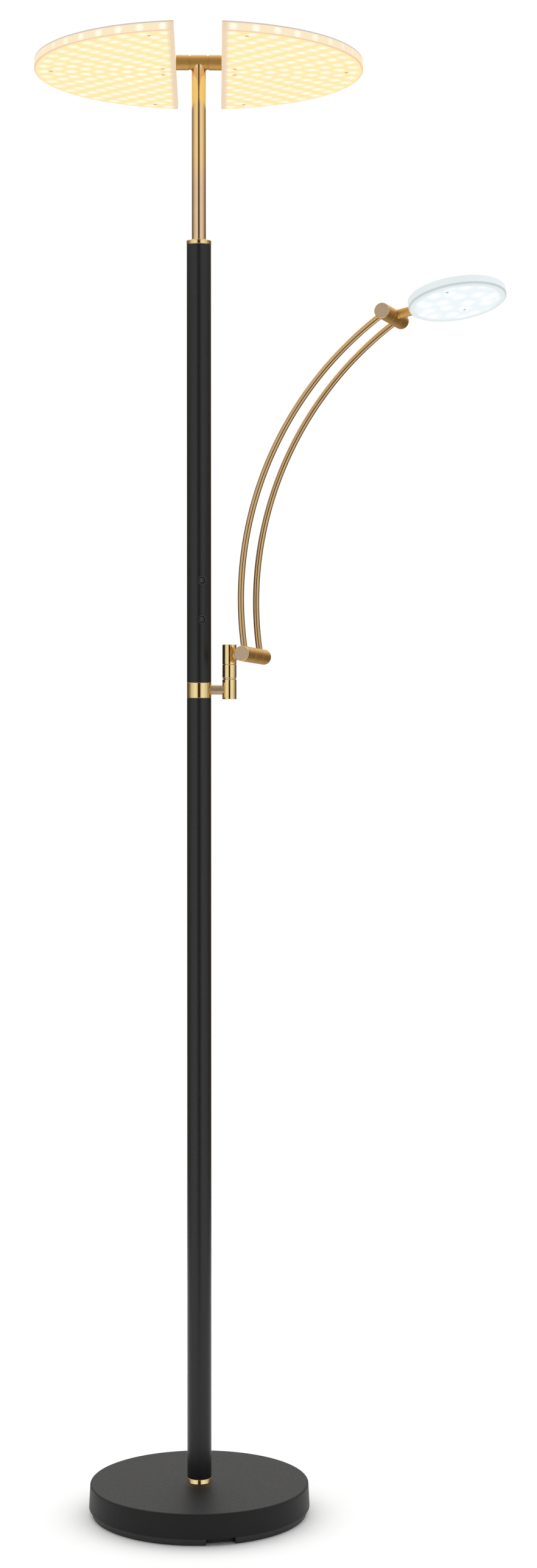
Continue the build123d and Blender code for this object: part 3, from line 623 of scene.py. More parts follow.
def make_finishes():
    """All of the lamp's finishes, by the slots that they fill."""
    tone = colours()
    collar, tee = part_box("top_collar")[1].z, JOINTS["right_panel_tilt"]["pos_m"][2]
    # painted warm light on the stem: its colour and the height where it starts
    painted_glow = (tone.painted_stem_glow, tee - PAINTED_GLOW_SHARE * (tee - collar))
    FINISHES.update(
        # satin powder coat: soft gloss with a faint orange peel of about a millimetre
        black_satin_paint=coated("satin_black_powder_coat", tone.pole_paint, 0.29, 1.2, 0.002,
                                 specular=0.36),
        # fine-texture powder coat: the grit is about half a millimetre, drawn at 1 mm to show
        black_textured_paint=coated("textured_black_powder_coat", tone.base_paint, 0.5, 1.0,
                                    0.06, specular=0.2),
        # moulded ABS: spark-eroded mould texture takes the shine off
        black_plastic=coated("moulded_black_abs", tone.black_plastic, 0.45, 0.8, 0.03),
        # the same ABS from a polished mould: sharp highlights on the buttons' rims
        glossy_plastic=coated("polished_black_abs", tone.black_plastic, 0.16, 0.8, 0.0),
        # sand cast iron under primer: coarse and matt
        cast_iron=coated("primed_cast_iron", linear("#2a2a2b"), 0.7, 1.5, 0.25, 20.0),
        # pressed wool felt under the weight: matt and fibrous
        felt=felt("pressed_black_felt", linear("#232324")),
        # flame-retardant polycarbonate of the driver's case: clean, with a soft shine
        driver_plastic=coated("white_polycarbonate", linear("#dcdcd8"), 0.4, 0.7, 0.02),
        # moulded EPDM bush of the cable inlet: dull and even
        rubber=coated("black_epdm_rubber", linear("#161616"), 0.75, 0.9, 0.04),
        # zinc-plated turned steel: bluish, with feed marks around it
        zinc_steel=metal("zinc_plated_steel", linear("#b9bec4"), 0.3, (1, 1, 6), 0.004),
        # brass plate, buffed and lacquered: near mirror, with faint marks around the piece
        polished_brass=metal("buffed_lacquered_brass", tone.polished_brass, 0.08, (1, 1, 8)),
        # lacquered bronze tube: drawn along its length, so its bands run soft and straight
        tube_brass=metal("drawn_lacquered_bronze", tone.tube_brass, 0.14, (3, 3, 0.5)),
        # brass brushed after plating: broad soft reflections
        satin_brass=metal("brushed_antique_brass", tone.satin_brass, 0.45, (3, 3, 3)),
        # brass faced on a lathe: paler than its brushed sides
        faced_brass=metal("faced_champagne_brass", tone.champagne_face, 0.42, (3, 3, 3)),
        # steel screws whose heads carry painted light: the cream of the panels' glow, so that
        # they fade into it
        enamelled_screws=coated("cream_enamelled_steel", linear("#f6dfae"), 0.35, 1.0, 0.0),
        # paler brass plate of the stem, polished along its length; near the warm light
        # panels it carries their reflection as painted warm light, golden above a height
        pale_brass=metal("pale_lacquered_brass", tone.pale_brass, 0.1, (3, 3, 0.3),
                         upper=painted_glow),
        # glass-filled nylon washers: dull brown-black
        dark_nylon=coated("glass_filled_nylon", linear("#2b2622"), 0.55, 0.6, 0.03),
        # opal acrylic with the LEDs showing through as soft spots
        warm_diffuser=lit_acrylic("lit_opal_acrylic", 0.79, 1.0, tone.warm_edge),
        # the same acrylic over the LEDs' backs: an even cream glow
        warm_lid=lit_acrylic("lit_opal_acrylic_lid", 0.62, 0.1, tone.warm_lid),
        # opal acrylic of the reading disc: cool, with bright spots inside a greyer ring
        cool_diffuser=lit_disc("lit_cool_acrylic", 0.78),
        # frosted cover of the reading disc: even and a little greyer
        cool_cover=lit_cover("lit_cool_acrylic_cover", 0.75),
        # circuit board under white solder mask: smooth, half gloss
        led_board=coated("white_solder_mask", linear("#e8e8e2"), 0.35, 2.0, 0.01))


# ---- base
def box_mm(node):
    """A CAD node's radius about its own middle and its height range, in millimetres."""
    low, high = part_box(node)
    return (high.x - low.x) / 2 / MM, low.z / MM, high.z / MM


COVER_DRAFT = 1.5       # the pressed cover narrows by this towards its top
SHEET = 2.0             # wall of the pressed cover
STUD = 5.0              # radius of the hole for the pole's stud
WIDE_STEPS = 192        # sides of the widest turned pieces


def build_base_cover():
    """Pressed drum with a rolled top edge, open below."""
    outer, low, high = box_mm("base_cover")
    top = outer - COVER_DRAFT
    profile = [(STUD, high), (top, high, 2.5), (outer, low, 0.4), (outer - SHEET, low),
               (top - SHEET, high - SHEET, 1.0), (STUD, high - SHEET)]
    piece = turned(profile, segments=WIDE_STEPS, steps=6)
    finish(piece, "base_cover_pressed", "stand", "base_cover", "black_textured_paint")


RING_OUTER = 132.5
RING_WIDTH = 9.0
RING_EDGE = 0.9
RING_STEPS = 184        # steps of its spin
RING_CORNER = radians(50)


def build_foot_ring():
    """Moulded ring, spun from its section as far as the cable notch leaves it."""
    outer, low, high = box_mm("foot_ring")
    seam = box_mm("base_cover")[1]
    section = (RING_WIDTH * MM, (seam - low) * MM, 1)
    middle = (RING_OUTER - RING_WIDTH / 2) * MM
    start = sizes().notch_start - sizes().notch_span - pi / 2    # the spin runs clockwise
    deselect()
    bpy.ops.mesh.primitive_plane_add(size=1, location=(middle, 0, (seam + low) / 2 * MM))
    band = bpy.context.object
    band.scale = section
    band.rotation_euler = (pi / 2, 0, 0)
    settle(band)
    settle(band, Matrix.Rotation(start, 4, "Z"))
    edit(band)
    bpy.ops.mesh.spin(steps=RING_STEPS, angle=2 * pi - sizes().notch_span, center=(0, 0, 0),
                      axis=(0, 0, 1))
    close_up()
    apply_modifier(band, "BEVEL", width=RING_EDGE * MM, segments=3, limit_method="ANGLE",
                   angle_limit=RING_CORNER)
    lip = turned(sleeve(RING_OUTER - RING_WIDTH, outer, seam, high, 0, 0.4),
                 segments=WIDE_STEPS)
    finish(join([band, lip]), "foot_ring_moulded", "stand", "foot_ring", "black_plastic")


COLLAR_FLARE = 0.8      # the base collar widens by this at its foot
COLLAR_TAPER = 0.25     # and narrows by this at its top


def build_base_collar():
    """Thin polished collar at the pole's foot, a little narrower at its top."""
    radius, low, high = box_mm("base_collar")
    piece = turned([(STUD, low), (radius + COLLAR_FLARE, low, FINE_EDGE),
                    (radius - COLLAR_TAPER, high, FINE_EDGE), (STUD, high)])
    finish(piece, "base_collar_polished", "stand", "base_collar", "polished_brass")


class LAMP_OT_base(bpy.types.Operator):
    """Model the base: pressed cover, foot ring with cable notch and collar"""
    bl_idname = "lamp.base"
    bl_label = "Base"

    def execute(self, context):
        build_base_cover()
        build_foot_ring()
        build_base_collar()
        return {"FINISHED"}


# ---- pole
POLE_WALL = 1.5
BUTTON_HOLE = (5, 25)   # the buttons' holes are cut from and to these radii
STEM_WALL = 1.0
COPE_SPARE = 3          # the stem starts this much too long and is coped to the tee
COPE_HALF = 20


def build_tubes():
    """The painted tubes; the upper one is bored for the buttons."""
    for node in ("lower_tube", "upper_tube"):
        radius, low, high = box_mm(node)
        piece = turned(sleeve(radius - POLE_WALL, radius, low, high, 0.25, 0.25))
        if node == "upper_tube":
            for joint, button in BUTTONS:
                cut(piece, turned(sleeve(0, BEZEL, *BUTTON_HOLE),
                                  button_place(joint, button), BUTTON_STEPS))
        finish(piece, node + "_painted", "stand", node, "black_satin_paint")


def build_collars():
    """Polished collars on the pole's middle and top."""
    for node, bore, edge in (("mid_collar", 9.0, 0.6), ("top_collar", 8.75, 0.8)):
        piece = turned(sleeve(bore, *box_mm(node), edge, edge))
        finish(piece, node + "_polished", "stand", node, "polished_brass")


def build_stem():
    """Pale brass stem, coped to the tee."""
    radius, low, high = box_mm("stem_tube")
    stem = turned(sleeve(radius - STEM_WALL, radius, low, high + COPE_SPARE))
    bottom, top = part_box("right_t_end")
    tee = Vector((0, 0, JOINTS["right_panel_tilt"]["pos_m"][2]))
    cut(stem, turned(sleeve(0, (top.z - bottom.z) / 2 / MM, -COPE_HALF, COPE_HALF),
                     along_x(tee)))
    finish(stem, "stem_tube_polished", "stand", "stem_tube", "polished_brass", "pale_brass")


class LAMP_OT_pole(bpy.types.Operator):
    """Model the pole: two painted tubes, two collars and the stem"""
    bl_idname = "lamp.pole"
    bl_label = "Pole"

    def execute(self, context):
        build_tubes()
        build_collars()
        build_stem()
        return {"FINISHED"}


# ---- buttons
BUTTONS = (("lower_button_press", "lower_button"), ("upper_button_press", "upper_button"))
BEZEL = 5.7
BEZEL_FACE = 16.2
CAP = 3.7
CAP_FACE = 16.0
BUTTON_BACK = 13.5
SHAFT = 2.0
SHAFT_END = 7.0
BEZEL_BACK = 12.0
BUTTON_GAP = 0.3
BUTTON_STEPS = 64
NUB = 0.6               # radius of the lower button's nub
NUB_REACH = 2.7


def build_bezels():
    """Raised rings with a dished face around the buttons."""
    hole = CAP + BUTTON_GAP
    profile = [(hole, BEZEL_BACK), (hole, BEZEL_FACE - 0.6, 0.2), (hole + 0.8, BEZEL_FACE, 0.2),
               (BEZEL, BEZEL_FACE - 0.1, 0.5), (BEZEL, BEZEL_BACK)]
    rings = [turned(profile, button_place(*button), BUTTON_STEPS) for button in BUTTONS]
    finish(join(rings), "dimmer_bezels_moulded", "stand", "dimmer_bezels", "black_satin_paint",
           "glossy_plastic")


def build_button(joint, node, with_nub):
    """A slightly dished cap on its shaft; the lower one carries a small nub."""
    place = button_place(joint, node)
    profile = [(0, CAP_FACE - 0.25), (CAP - 1.1, CAP_FACE - 0.2, 0.8), (CAP - 0.6, CAP_FACE, 0.2),
               (CAP, CAP_FACE - 0.5, 0.3), (CAP, BUTTON_BACK), (SHAFT, BUTTON_BACK),
               (SHAFT, SHAFT_END), (0, SHAFT_END)]
    piece = turned(profile, place, BUTTON_STEPS)
    if with_nub:
        deselect()
        bpy.ops.mesh.primitive_uv_sphere_add(segments=16, ring_count=10, radius=NUB * MM,
                                             location=(-NUB_REACH * MM, 0, CAP_FACE * MM))
        piece = join([piece, settle(bpy.context.object, place)])
    finish(piece, node + "_cap", node, node, "black_satin_paint", "glossy_plastic")


class LAMP_OT_buttons(bpy.types.Operator):
    """Model the dimmer buttons and their bezels"""
    bl_idname = "lamp.buttons"
    bl_label = "Buttons"

    def execute(self, context):
        build_bezels()
        build_button(*BUTTONS[0], True)
        build_button(*BUTTONS[1], False)
        return {"FINISHED"}


# ---- tee
WASHER_BORE = 4
WASHER_SINK = 0.9       # the tee's washers lie this much below its surface


def build_tee():
    """Brushed tee: centre, thin washers and the two turning ends."""
    tee = Vector((0, 0, JOINTS["right_panel_tilt"]["pos_m"][2]))
    low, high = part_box("right_t_end")
    radius = (high.z - low.z) / 2 / MM
    start, end = low.x / MM, high.x / MM
    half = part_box("t_fitting")[1].x / MM
    centre = turned(sleeve(0, radius, -half, half, FINE_EDGE, FINE_EDGE), along_x(tee))
    finish(centre, "t_fitting_brushed", "stand", "t_fitting", "satin_brass")
    washer = sleeve(WASHER_BORE, radius - WASHER_SINK, half, start, 0.2, 0.2)
    rings = [turned(washer, along_x(tee, side)) for side in (1, -1)]
    finish(join(rings), "t_washers_turned", "stand", "t_washers", "satin_brass")
    for side, sign in (("right", 1), ("left", -1)):
        piece = turned(sleeve(0, radius, start, end, FINE_EDGE, 0.4), along_x(tee, sign))
        finish(piece, side + "_t_end_brushed", side + "_panel", side + "_t_end", "satin_brass")


class LAMP_OT_tee(bpy.types.Operator):
    """Model the tee between the light panels"""
    bl_idname = "lamp.tee"
    bl_label = "Tee"

    def execute(self, context):
        build_tee()
        return {"FINISHED"}


# ---- light panels
PANEL_RADIUS = 201.7
PANEL_START = 28.0
PANEL_UNDER = -11.7
PANEL_SEAM = -1.9
PANEL_TOP = 0.1
SCREW_SPOTS = ((44.0, -15.0), (44.0, 15.0), (57.0, -173.0), (57.0, 173.0), (181.5, 0.0))
SCREW_HEAD = 2.75
SCREW_STEPS = 32
CROSS = (1.4, 0.3, 0.9) # half length, half width and depth of the screws' cross recess
SCREW_SINK = 0.1        # the panel screws' heads lie this much above the underside
SEAT_GAP = 0.25
SEAT_REACH = (2, 5)     # a seat is cut from below the underside to above it
PANEL_FLOOR = 2.0
LID_EDGE = 1.0
OUTLINE_STEPS = 288


def half_disc(height, thickness):
    """A slab of the panel's outline, extruded up from a height, in millimetres."""
    deselect()
    bpy.ops.mesh.primitive_circle_add(vertices=OUTLINE_STEPS, radius=PANEL_RADIUS * MM,
                                      fill_type="NGON", location=(0, 0, height * MM))
    piece = settle(bpy.context.object)
    edit(piece)
    bpy.ops.mesh.bisect(plane_co=(PANEL_START * MM, 0, 0), plane_no=(1, 0, 0),
                        clear_inner=True)
    bpy.ops.mesh.select_all(action="SELECT")
    rise = (0, 0, thickness * MM)
    bpy.ops.mesh.extrude_region_move(TRANSFORM_OT_translate={"value": rise})
    close_up()
    return piece


def round_rim(piece, height, radius):
    """Round the edges of a slab that lie at a height."""
    edit(piece)
    level = height * MM
    pick(piece, "edges", lambda e: all(abs(v.co.z - level) < LEVEL_SLACK for v in e.verts))
    bpy.ops.mesh.bevel(offset=radius, segments=4, affect="EDGES", clamp_overlap=True)
    close_up()


def hollow(piece, height, wall, depth):
    """Sink the top face of a slab, leaving a wall around it."""
    edit(piece)
    level = height * MM
    pick(piece, "faces", lambda f: abs(f.calc_center_median().z - level) < LEVEL_SLACK)
    bpy.ops.mesh.inset(thickness=wall)
    bpy.ops.mesh.extrude_region_move(TRANSFORM_OT_translate={"value": (0, 0, -depth * MM)})
    close_up()


def screw_master():
    """One countersunk panel screw with a cross recess, head down at the origin."""
    screw = turned([(0, 0), (SCREW_HEAD, 0, 0.25), (SCREW_HEAD, 1.3), (1.5, 2.2), (1.5, 8.0),
                    (0, 8.0)], None, SCREW_STEPS, 2)
    long, wide, deep = CROSS
    for across in (0, pi / 2):
        turn = Matrix.Rotation(across, 4, "Z")
        cut(screw, box_tool((-long, -wide, -1), (long, wide, deep), turn))
    return screw


def build_panel(side, sign, screw):
    """One light panel: tray with screw seats, lid and screws."""
    flip = panel_place() @ Matrix.Rotation(0 if sign > 0 else pi, 4, "Z")
    tray = half_disc(PANEL_UNDER, PANEL_SEAM - PANEL_UNDER)
    round_rim(tray, PANEL_UNDER, sizes().panel_corner)
    hollow(tray, PANEL_SEAM, sizes().panel_wall, PANEL_SEAM - PANEL_UNDER - PANEL_FLOOR)
    below, above = SEAT_REACH
    seat = sleeve(0, SCREW_HEAD + SEAT_GAP, PANEL_UNDER - below, PANEL_UNDER + above)
    cut(tray, join([turned(seat, shifted(x, y), SCREW_STEPS) for x, y in SCREW_SPOTS]))
    settle(tray, flip)
    finish(tray, side + "_tray_moulded", side + "_panel", side + "_lower_diffuser",
           "warm_diffuser")
    lid = half_disc(PANEL_SEAM, PANEL_TOP - PANEL_SEAM)
    round_rim(lid, PANEL_TOP, LID_EDGE * MM)
    settle(lid, flip)
    finish(lid, side + "_lid_moulded", side + "_panel", side + "_upper_cover", "warm_diffuser",
           "warm_lid")
    screws = [settle(copy_of(screw), flip @ shifted(x, y, PANEL_UNDER + SCREW_SINK))
              for x, y in SCREW_SPOTS]
    # the screw heads take the panels' glow colour as painted light, not their own steel
    finish(join(screws), side + "_screws_enamelled", side + "_panel", side + "_panel_screws",
           "zinc_steel", "enamelled_screws")


class LAMP_OT_panels(bpy.types.Operator):
    """Model the two half-disc light panels with their screws"""
    bl_idname = "lamp.panels"
    bl_label = "Light panels"

    def execute(self, context):
        screw = screw_master()
        build_panel("right", 1, screw)
        build_panel("left", -1, screw)
        bpy.data.objects.remove(screw)
        return {"FINISHED"}


# ---- swivel barrel
STUB = 6.0


def build_barrel():
    """Barrel sections, their washer and the stub from the collar."""
    low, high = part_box("barrel_lower")
    axis = Matrix.Translation(((low.x + high.x) / 2, 0, 0))
    for node, body in (("barrel_lower", "stand"), ("barrel_middle", "arm_swivel"),
                       ("barrel_upper", "arm_swivel")):
        piece = turned(sleeve(0, *box_mm(node), 0.6, 0.6), axis)
        finish(piece, node + "_polished", body, node, "polished_brass")
    washer = turned(sleeve(WASHER_BORE, *box_mm("barrel_washer"), 0.4, 0.4), axis)
    finish(washer, "barrel_washer_turned", "stand", "barrel_washer", "polished_brass")
    low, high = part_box("arm_stub")
    level = Vector((0, 0, (low.z + high.z) / 2))
    stub = turned(sleeve(0, STUB, low.x / MM, high.x / MM), along_x(level), BUTTON_STEPS)
    finish(stub, "arm_stub_turned", "stand", "arm_stub", "satin_brass", "faced_brass")


class LAMP_OT_barrel(bpy.types.Operator):
    """Model the barrel that the arm swivels on"""
    bl_idname = "lamp.barrel"
    bl_label = "Swivel barrel"

    def execute(self, context):
        build_barrel()
        return {"FINISHED"}


# ---- knuckles
MIDDLE_HALF = 12.9
END_START = 13.45
RIM_EDGE = 0.8          # rounded, polished edge of a knuckle's end
RIM_MARGIN = RIM_EDGE * MM
FACE_MARGIN = 0.05 * MM # the faced end reaches this far down
BOSS = (2, 10.5)        # the upper knuckle's boss starts and ends at these distances
STEM = 5.8              # radius of the reading stem and its boss
STUB_INSET = (4.8, 4.2) # the stub starts inside the barrel and ends inside the knuckle


def knuckle_end_master():
    """One end section of a knuckle: broken edge, thin step and flat face."""
    radius, end = sizes().knuckle_radius / MM, sizes().knuckle_half / MM
    return turned(sleeve(0, radius, END_START, end, FINE_EDGE, RIM_EDGE))


def knuckle_middle():
    """Middle section of a knuckle."""
    return turned(sleeve(0, sizes().knuckle_radius / MM, -MIDDLE_HALF, MIDDLE_HALF, 0.35, 0.35))


def face_end(piece, place):
    """Give a knuckle's section its polished outer edge and its faced end."""
    axis = (place.to_3x3() @ Vector((0, 0, 1))).normalized()
    middle = place.to_translation()
    edit(piece)
    for slot, look, margin in ((1, "polished_brass", RIM_MARGIN),
                               (2, "faced_brass", FACE_MARGIN)):
        piece.data.materials.append(FINISHES[look])
        start = sizes().knuckle_half - margin
        pick(piece, "faces", lambda f: abs((f.calc_center_median() - middle).dot(axis)) > start)
        piece.active_material_index = slot
        bpy.ops.object.material_slot_assign()
    bpy.ops.object.mode_set(mode="OBJECT")


def build_knuckles():
    """Both knuckles; their front and back sections are copies of one."""
    master = knuckle_end_master()
    turn_back = Matrix.Rotation(pi, 4, "X")
    for joint, name in (("arm_lower", "lower_knuckle"), ("reading_head_tilt", "upper_knuckle")):
        place = knuckle_place(joint)
        for end, turn in (("front", Matrix()), ("rear", turn_back)):
            piece = settle(copy_of(master), place @ turn)
            finish(piece, f"{name}_{end}_brushed", "arm", f"{name}_{end}", "satin_brass")
            face_end(piece, place)
    bpy.data.objects.remove(master)
    lower = settle(knuckle_middle(), knuckle_place("arm_lower"))
    finish(lower, "lower_knuckle_middle_brushed", "arm_swivel", "lower_knuckle_middle",
           "satin_brass")
    upper = settle(knuckle_middle(), knuckle_place("reading_head_tilt"))
    boss = turned(sleeve(0, STEM, *BOSS, 0, FINE_EDGE), stem_place(), BUTTON_STEPS)
    finish(join([upper, boss]), "upper_knuckle_middle_brushed", "head_knuckle",
           "upper_knuckle_middle", "satin_brass")


def build_knuckle_stub():
    """Turned stub between the barrel and the lower knuckle."""
    place = knuckle_place("arm_lower")
    barrel_x = JOINTS["arm_turn"]["pos_m"][0]
    reach = (Vector(JOINTS["arm_lower"]["pos_m"]).xy - Vector((barrel_x, 0))).length / MM
    in_barrel, in_knuckle = STUB_INSET
    stub = turned(sleeve(0, STUB, in_barrel - reach, -in_knuckle),
                  place @ along_x(Vector((0, 0, 0))), BUTTON_STEPS)
    finish(stub, "knuckle_stub_turned", "arm_swivel", "knuckle_stub", "satin_brass",
           "faced_brass")


class LAMP_OT_knuckles(bpy.types.Operator):
    """Model the arm's two knuckles and the stub that carries the lower one"""
    bl_idname = "lamp.knuckles"
    bl_label = "Knuckles"

    def execute(self, context):
        build_knuckles()
        build_knuckle_stub()
        return {"FINISHED"}


# ---- arm tubes
TUBE_SEAT = 4.6         # distance of a tube's end from the knuckle's pin
TUBE_SIDES = 32
TUBE_STEPS = 96         # steps of a tube's spin along the arc


def build_arm_tubes():
    """Two tubes spun along the arm's arc between the knuckles."""
    size = sizes()
    place = knuckle_place("arm_lower")
    upper = place.inverted() @ Vector(JOINTS["reading_head_tilt"]["pos_m"])
    chord = upper.xy
    bend = size.arm_bend
    side = Vector((chord.y, -chord.x)).normalized()
    centre = chord / 2 + side * sqrt(bend ** 2 - (chord.length / 2) ** 2)
    skip = TUBE_SEAT * MM / bend
    first = atan2(-centre.y, -centre.x)
    if first < 0:
        first += 2 * pi
    sweep = 2 * asin(chord.length / 2 / bend) - 2 * skip
    for name, sign in (("rod_front", 1), ("rod_rear", -1)):
        height = sign * size.arm_tube_offset
        at = centre + Vector((cos(first - skip), sin(first - skip))) * bend
        deselect()
        bpy.ops.mesh.primitive_circle_add(vertices=TUBE_SIDES, radius=size.arm_tube,
                                          fill_type="NGON", location=(at.x, at.y, height),
                                          rotation=(pi / 2, 0, first - skip))
        piece = settle(bpy.context.object)
        edit(piece)
        bpy.ops.mesh.spin(steps=TUBE_STEPS, angle=sweep, center=(centre.x, centre.y, height),
                          axis=(0, 0, 1))
        close_up()
        settle(piece, place)
        finish(piece, name + "_bent", "arm", name, "polished_brass", "tube_brass")


class LAMP_OT_arm_tubes(bpy.types.Operator):
    """Bend the arm's two tubes"""
    bl_idname = "lamp.arm_tubes"
    bl_label = "Arm tubes"

    def execute(self, context):
        build_arm_tubes()
        return {"FINISHED"}


# ---- reading head
DISC_SEAM = -3.4
DISC_WALL = 1.8
DISC_SCREWS = ((0.0, -40.4), (0.0, 26.8))
DISC_SEAT = 1.9
DISC_SCREW_STEPS = 24
DISC_EDGE_ROUNDING = 2.0
STEM_START = 10.6
STEM_OVERLAP = 0.8      # the stem goes this far into the disc's rim


def build_reading_stem():
    """Short turned stem into the disc's rim."""
    size = sizes()
    end = (size.disc_reach - size.disc_radius) / MM + STEM_OVERLAP
    stem = turned(sleeve(0, STEM, STEM_START, end, FINE_EDGE), stem_place(), BUTTON_STEPS)
    finish(stem, "reading_stem_turned", "reading_head", "reading_stem", "satin_brass")


def build_reading_disc():
    """Frosted cover and diffuser plate with two small screws."""
    place = disc_place()
    radius, half = sizes().disc_radius / MM, sizes().disc_thickness / 2 / MM
    cover = turned([(0, half), (radius, half, DISC_EDGE_ROUNDING), (radius, DISC_SEAM),
                    (radius - DISC_WALL, DISC_SEAM), (radius - DISC_WALL, half - DISC_WALL),
                    (0, half - DISC_WALL)], place, WIDE_STEPS, 6)
    finish(cover, "reading_cover_frosted", "reading_head", "reading_cover", "cool_diffuser",
           "cool_cover")
    plate = turned(sleeve(0, radius, DISC_SEAM, -half, 0, DISC_EDGE_ROUNDING), None,
                   WIDE_STEPS, 6)
    seat = sleeve(0, DISC_SEAT, -half - 2, -half + 1.3)
    cut(plate, join([turned(seat, shifted(x, y), DISC_SCREW_STEPS) for x, y in DISC_SCREWS]))
    settle(plate, place)
    finish(plate, "reading_plate_opal", "reading_head", "reading_diffuser", "cool_diffuser")
    screw = [(0, 0.4 - half), (0.7, 0.4 - half), (0.9, 0.1 - half), (1.7, 0.1 - half, 0.3),
             (1.7, 1.2 - half), (1.0, 1.3 - half), (1.0, 4.0), (0, 4.0)]
    screws = [turned(screw, place @ shifted(x, y), DISC_SCREW_STEPS, 2)
              for x, y in DISC_SCREWS]
    finish(join(screws), "reading_screws_plated", "reading_head", "reading_screws",
           "zinc_steel")


class LAMP_OT_reading_head(bpy.types.Operator):
    """Model the reading disc and its stem"""
    bl_idname = "lamp.reading_head"
    bl_label = "Reading head"

    def execute(self, context):
        build_reading_stem()
        build_reading_disc()
        return {"FINISHED"}


# ---- inner parts
class LAMP_OT_inner_parts(bpy.types.Operator):
    """Give every CAD part that stays its finish"""
    bl_idname = "lamp.inner_parts"
    bl_label = "Inner parts"

    def execute(self, context):
        for node in frame["nodes"].values():
            for slot in node.material_slots:
                slot.material = FINISHES[slot.material.name.split(".")[0]]
        return {"FINISHED"}


# ---- stage
CAMERA_AT = (0.01914, -3.36598, 1.03862)
CAMERA_LENS = 62.62
CAMERA_TILT = radians(-1.0)
CAMERA_TURN = -0.01975
CAMERA_SHIFT = -0.0396
CAMERA_SENSOR = 36.0
FLOOR_SIZE = 2.6
FLOOR_PATCHES = 400.0       # size of the floor's hardly visible patches
BACKDROP = 1.05             # white of the background as the camera sees it
OVERHEAD = (0.14, 0.6)      # the light from above takes over between these heights
OVERHEAD_DEPTH = (-0.6, 0.5)    # it changes from the front to the back between these
OVERHEAD_LIGHT = (0.5, 1.9)     # dimmer in front and brighter behind
# light around the lamp: how far round from the front (0) to the back (1), and its colour
SURROUND = ((0.0, (0.05, 0.02, 0.005)), (0.055, (0.07, 0.035, 0.015)), (0.095, (0.95,) * 3),
            (0.2, (1.12,) * 3), (0.4, (0.85,) * 3), (0.53, (0.38, 0.36, 0.33)),
            (0.66, (0.14, 0.1, 0.06)), (0.85, (0.16, 0.12, 0.08)), (1.0, (0.42, 0.39, 0.35)))


def build_floor():
    """Plain pale floor."""
    deselect()
    bpy.ops.mesh.primitive_plane_add(size=FLOOR_SIZE, location=(0, 0, 0))
    floor = bpy.context.object
    floor.name = "floor"
    edit(floor)
    bpy.ops.mesh.subdivide(number_cuts=4)
    bpy.ops.object.mode_set(mode="OBJECT")
    material, tree, shader, coords = start_material("matt_white_floor")
    patches = add(tree, "TexNoise",
                  {"Vector": coords, "Scale": scale_of(FLOOR_PATCHES), "Detail": 2.0})
    share = add(tree, "MapRange", (patches, *NOISE_SPAN, 0.0, 1.0))
    tint = add(tree, "Mix", {0: share, 6: linear("#f8f8f8"), 7: linear("#fafafa")}, **RGBA)
    connect(tree, shader, {"Base Color": tint.outputs[2], "Roughness": 0.9,
                           "Specular IOR Level": 0.1})
    floor.data.materials.append(material)
    floor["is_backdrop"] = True


def build_light():
    """Soft studio surround: white to the eye, a light bank on each side, dark in front."""
    world = bpy.data.worlds.new("soft_studio")
    bpy.context.scene.world = world
    world.use_nodes = True
    tree = world.node_tree
    tree.nodes.clear()
    direction = add(tree, "TexCoord").outputs["Generated"]
    x, y, z = add(tree, "SeparateXYZ", (direction,)).outputs
    front = add(tree, "Math", (y, -1.0), operation="MULTIPLY")
    angle = add(tree, "Math", (x, front), operation="ARCTAN2")
    turn = add(tree, "Math", (angle,), operation="ABSOLUTE")
    around = add(tree, "Math", (turn, pi), operation="DIVIDE")
    surround = add(tree, "ValToRGB", (around,))
    surround.color_ramp.interpolation = "EASE"
    stops = surround.color_ramp.elements
    while len(stops) < len(SURROUND):
        stops.new(0.5)
    for stop, (position, light) in zip(stops, SURROUND):
        stop.position = position
    for stop, (position, light) in zip(stops, SURROUND):
        stop.color = (*light, 1)
    share = add(tree, "MapRange", (z, *OVERHEAD, 0.0, 1.0))
    above = add(tree, "MapRange", (y, *OVERHEAD_DEPTH, *OVERHEAD_LIGHT))
    overhead = add(tree, "CombineColor", (above,) * 3)
    light = add(tree, "Mix", {0: share, 6: surround, 7: overhead}, **RGBA)
    lit = add(tree, "Background", {"Color": light.outputs[2]})
    white = add(tree, "Background", {"Color": WHITE, "Strength": BACKDROP})
    seen = add(tree, "LightPath").outputs["Is Camera Ray"]
    mixed = add(tree, "MixShader", (seen, lit, white))
    add(tree, "OutputWorld", {"Surface": mixed})


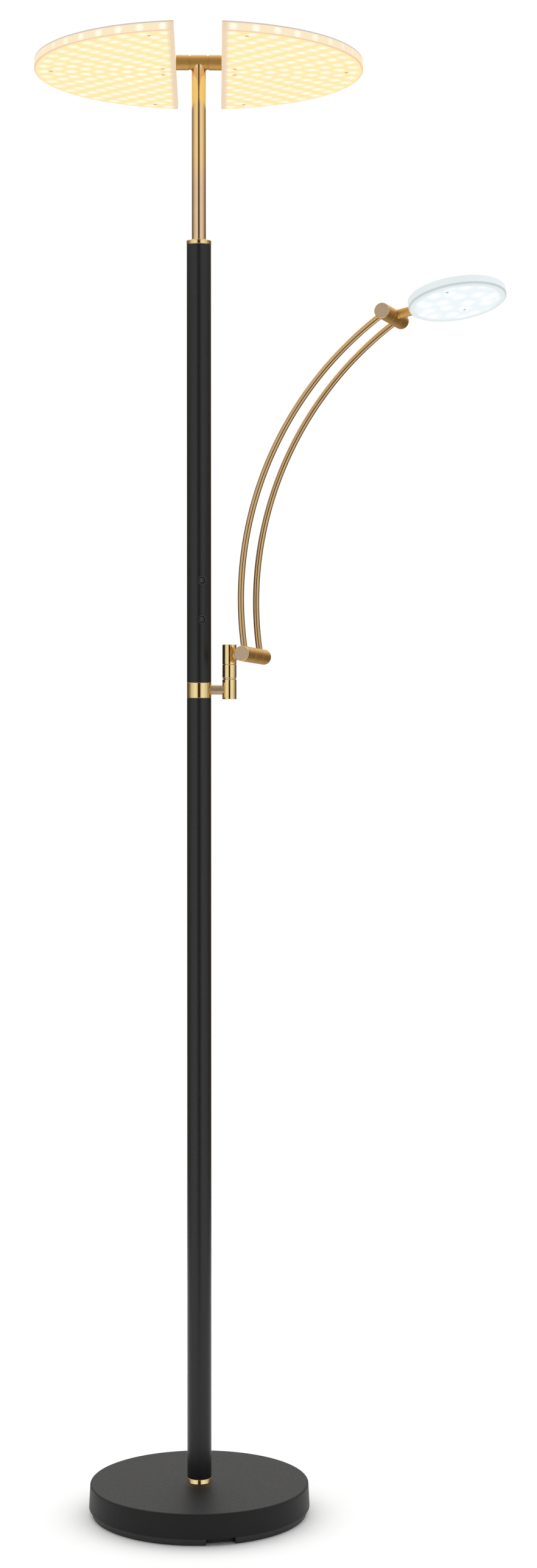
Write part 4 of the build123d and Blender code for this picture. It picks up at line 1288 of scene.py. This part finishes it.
def build_camera():
    """Camera a little over a metre up, looking down by one degree."""
    deselect()
    turn = (pi / 2 + CAMERA_TILT, 0, CAMERA_TURN)
    bpy.ops.object.camera_add(location=CAMERA_AT, rotation=turn)
    camera = bpy.context.object
    camera.data.lens = CAMERA_LENS
    camera.data.sensor_width = CAMERA_SENSOR
    camera.data.shift_y = CAMERA_SHIFT
    bpy.context.scene.camera = camera


class LAMP_OT_stage(bpy.types.Operator):
    """Set the floor, the light and the camera"""
    bl_idname = "lamp.stage"
    bl_label = "Stage"

    def execute(self, context):
        bpy.context.scene.view_settings.view_transform = "Standard"
        build_floor()
        build_light()
        build_camera()
        return {"FINISHED"}


# ---- add-on
class LAMP_PT_panel(bpy.types.Panel):
    """Lists the lamp's settings and the steps that build it"""
    bl_idname = "LAMP_PT_panel"
    bl_label = "Torchiere floor lamp"
    bl_space_type = "VIEW_3D"
    bl_region_type = "UI"
    bl_category = "Lamp"

    def draw(self, context):
        for group in (context.scene.lamp_sizes, context.scene.lamp_colours):
            column = self.layout.column()
            for key in type(group).__annotations__:
                column.prop(group, key)
        for step in STEPS:
            self.layout.operator(step.bl_idname)


STEPS = (LAMP_OT_base, LAMP_OT_pole, LAMP_OT_buttons, LAMP_OT_tee, LAMP_OT_panels,
         LAMP_OT_barrel, LAMP_OT_knuckles, LAMP_OT_arm_tubes, LAMP_OT_reading_head,
         LAMP_OT_inner_parts, LAMP_OT_stage)
CLASSES = (LampSizes, LampColours, *STEPS, LAMP_PT_panel)


def register():
    """Register the lamp's classes and settings."""
    for item in CLASSES:
        bpy.utils.register_class(item)
    bpy.types.Scene.lamp_sizes = PointerProperty(type=LampSizes)
    bpy.types.Scene.lamp_colours = PointerProperty(type=LampColours)


def unregister():
    """Take the lamp's classes and settings away again."""
    del bpy.types.Scene.lamp_colours
    del bpy.types.Scene.lamp_sizes
    for item in reversed(CLASSES):
        bpy.utils.unregister_class(item)


def write_sizes():
    """Work out the CAD box and the finished model's box as plain numbers."""
    boxes = {"cad": CAD_BOX, "visual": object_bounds()}
    plain = {key: [[float(v) for v in corner] for corner in box] for key, box in boxes.items()}


def main():
    """Build the whole lamp."""
    register()
    make_finishes()
    for step in STEPS:
        group, name = step.bl_idname.split(".")
        getattr(getattr(bpy.ops, group), name)()
    write_sizes()


if __name__ == "__main__":
    main()
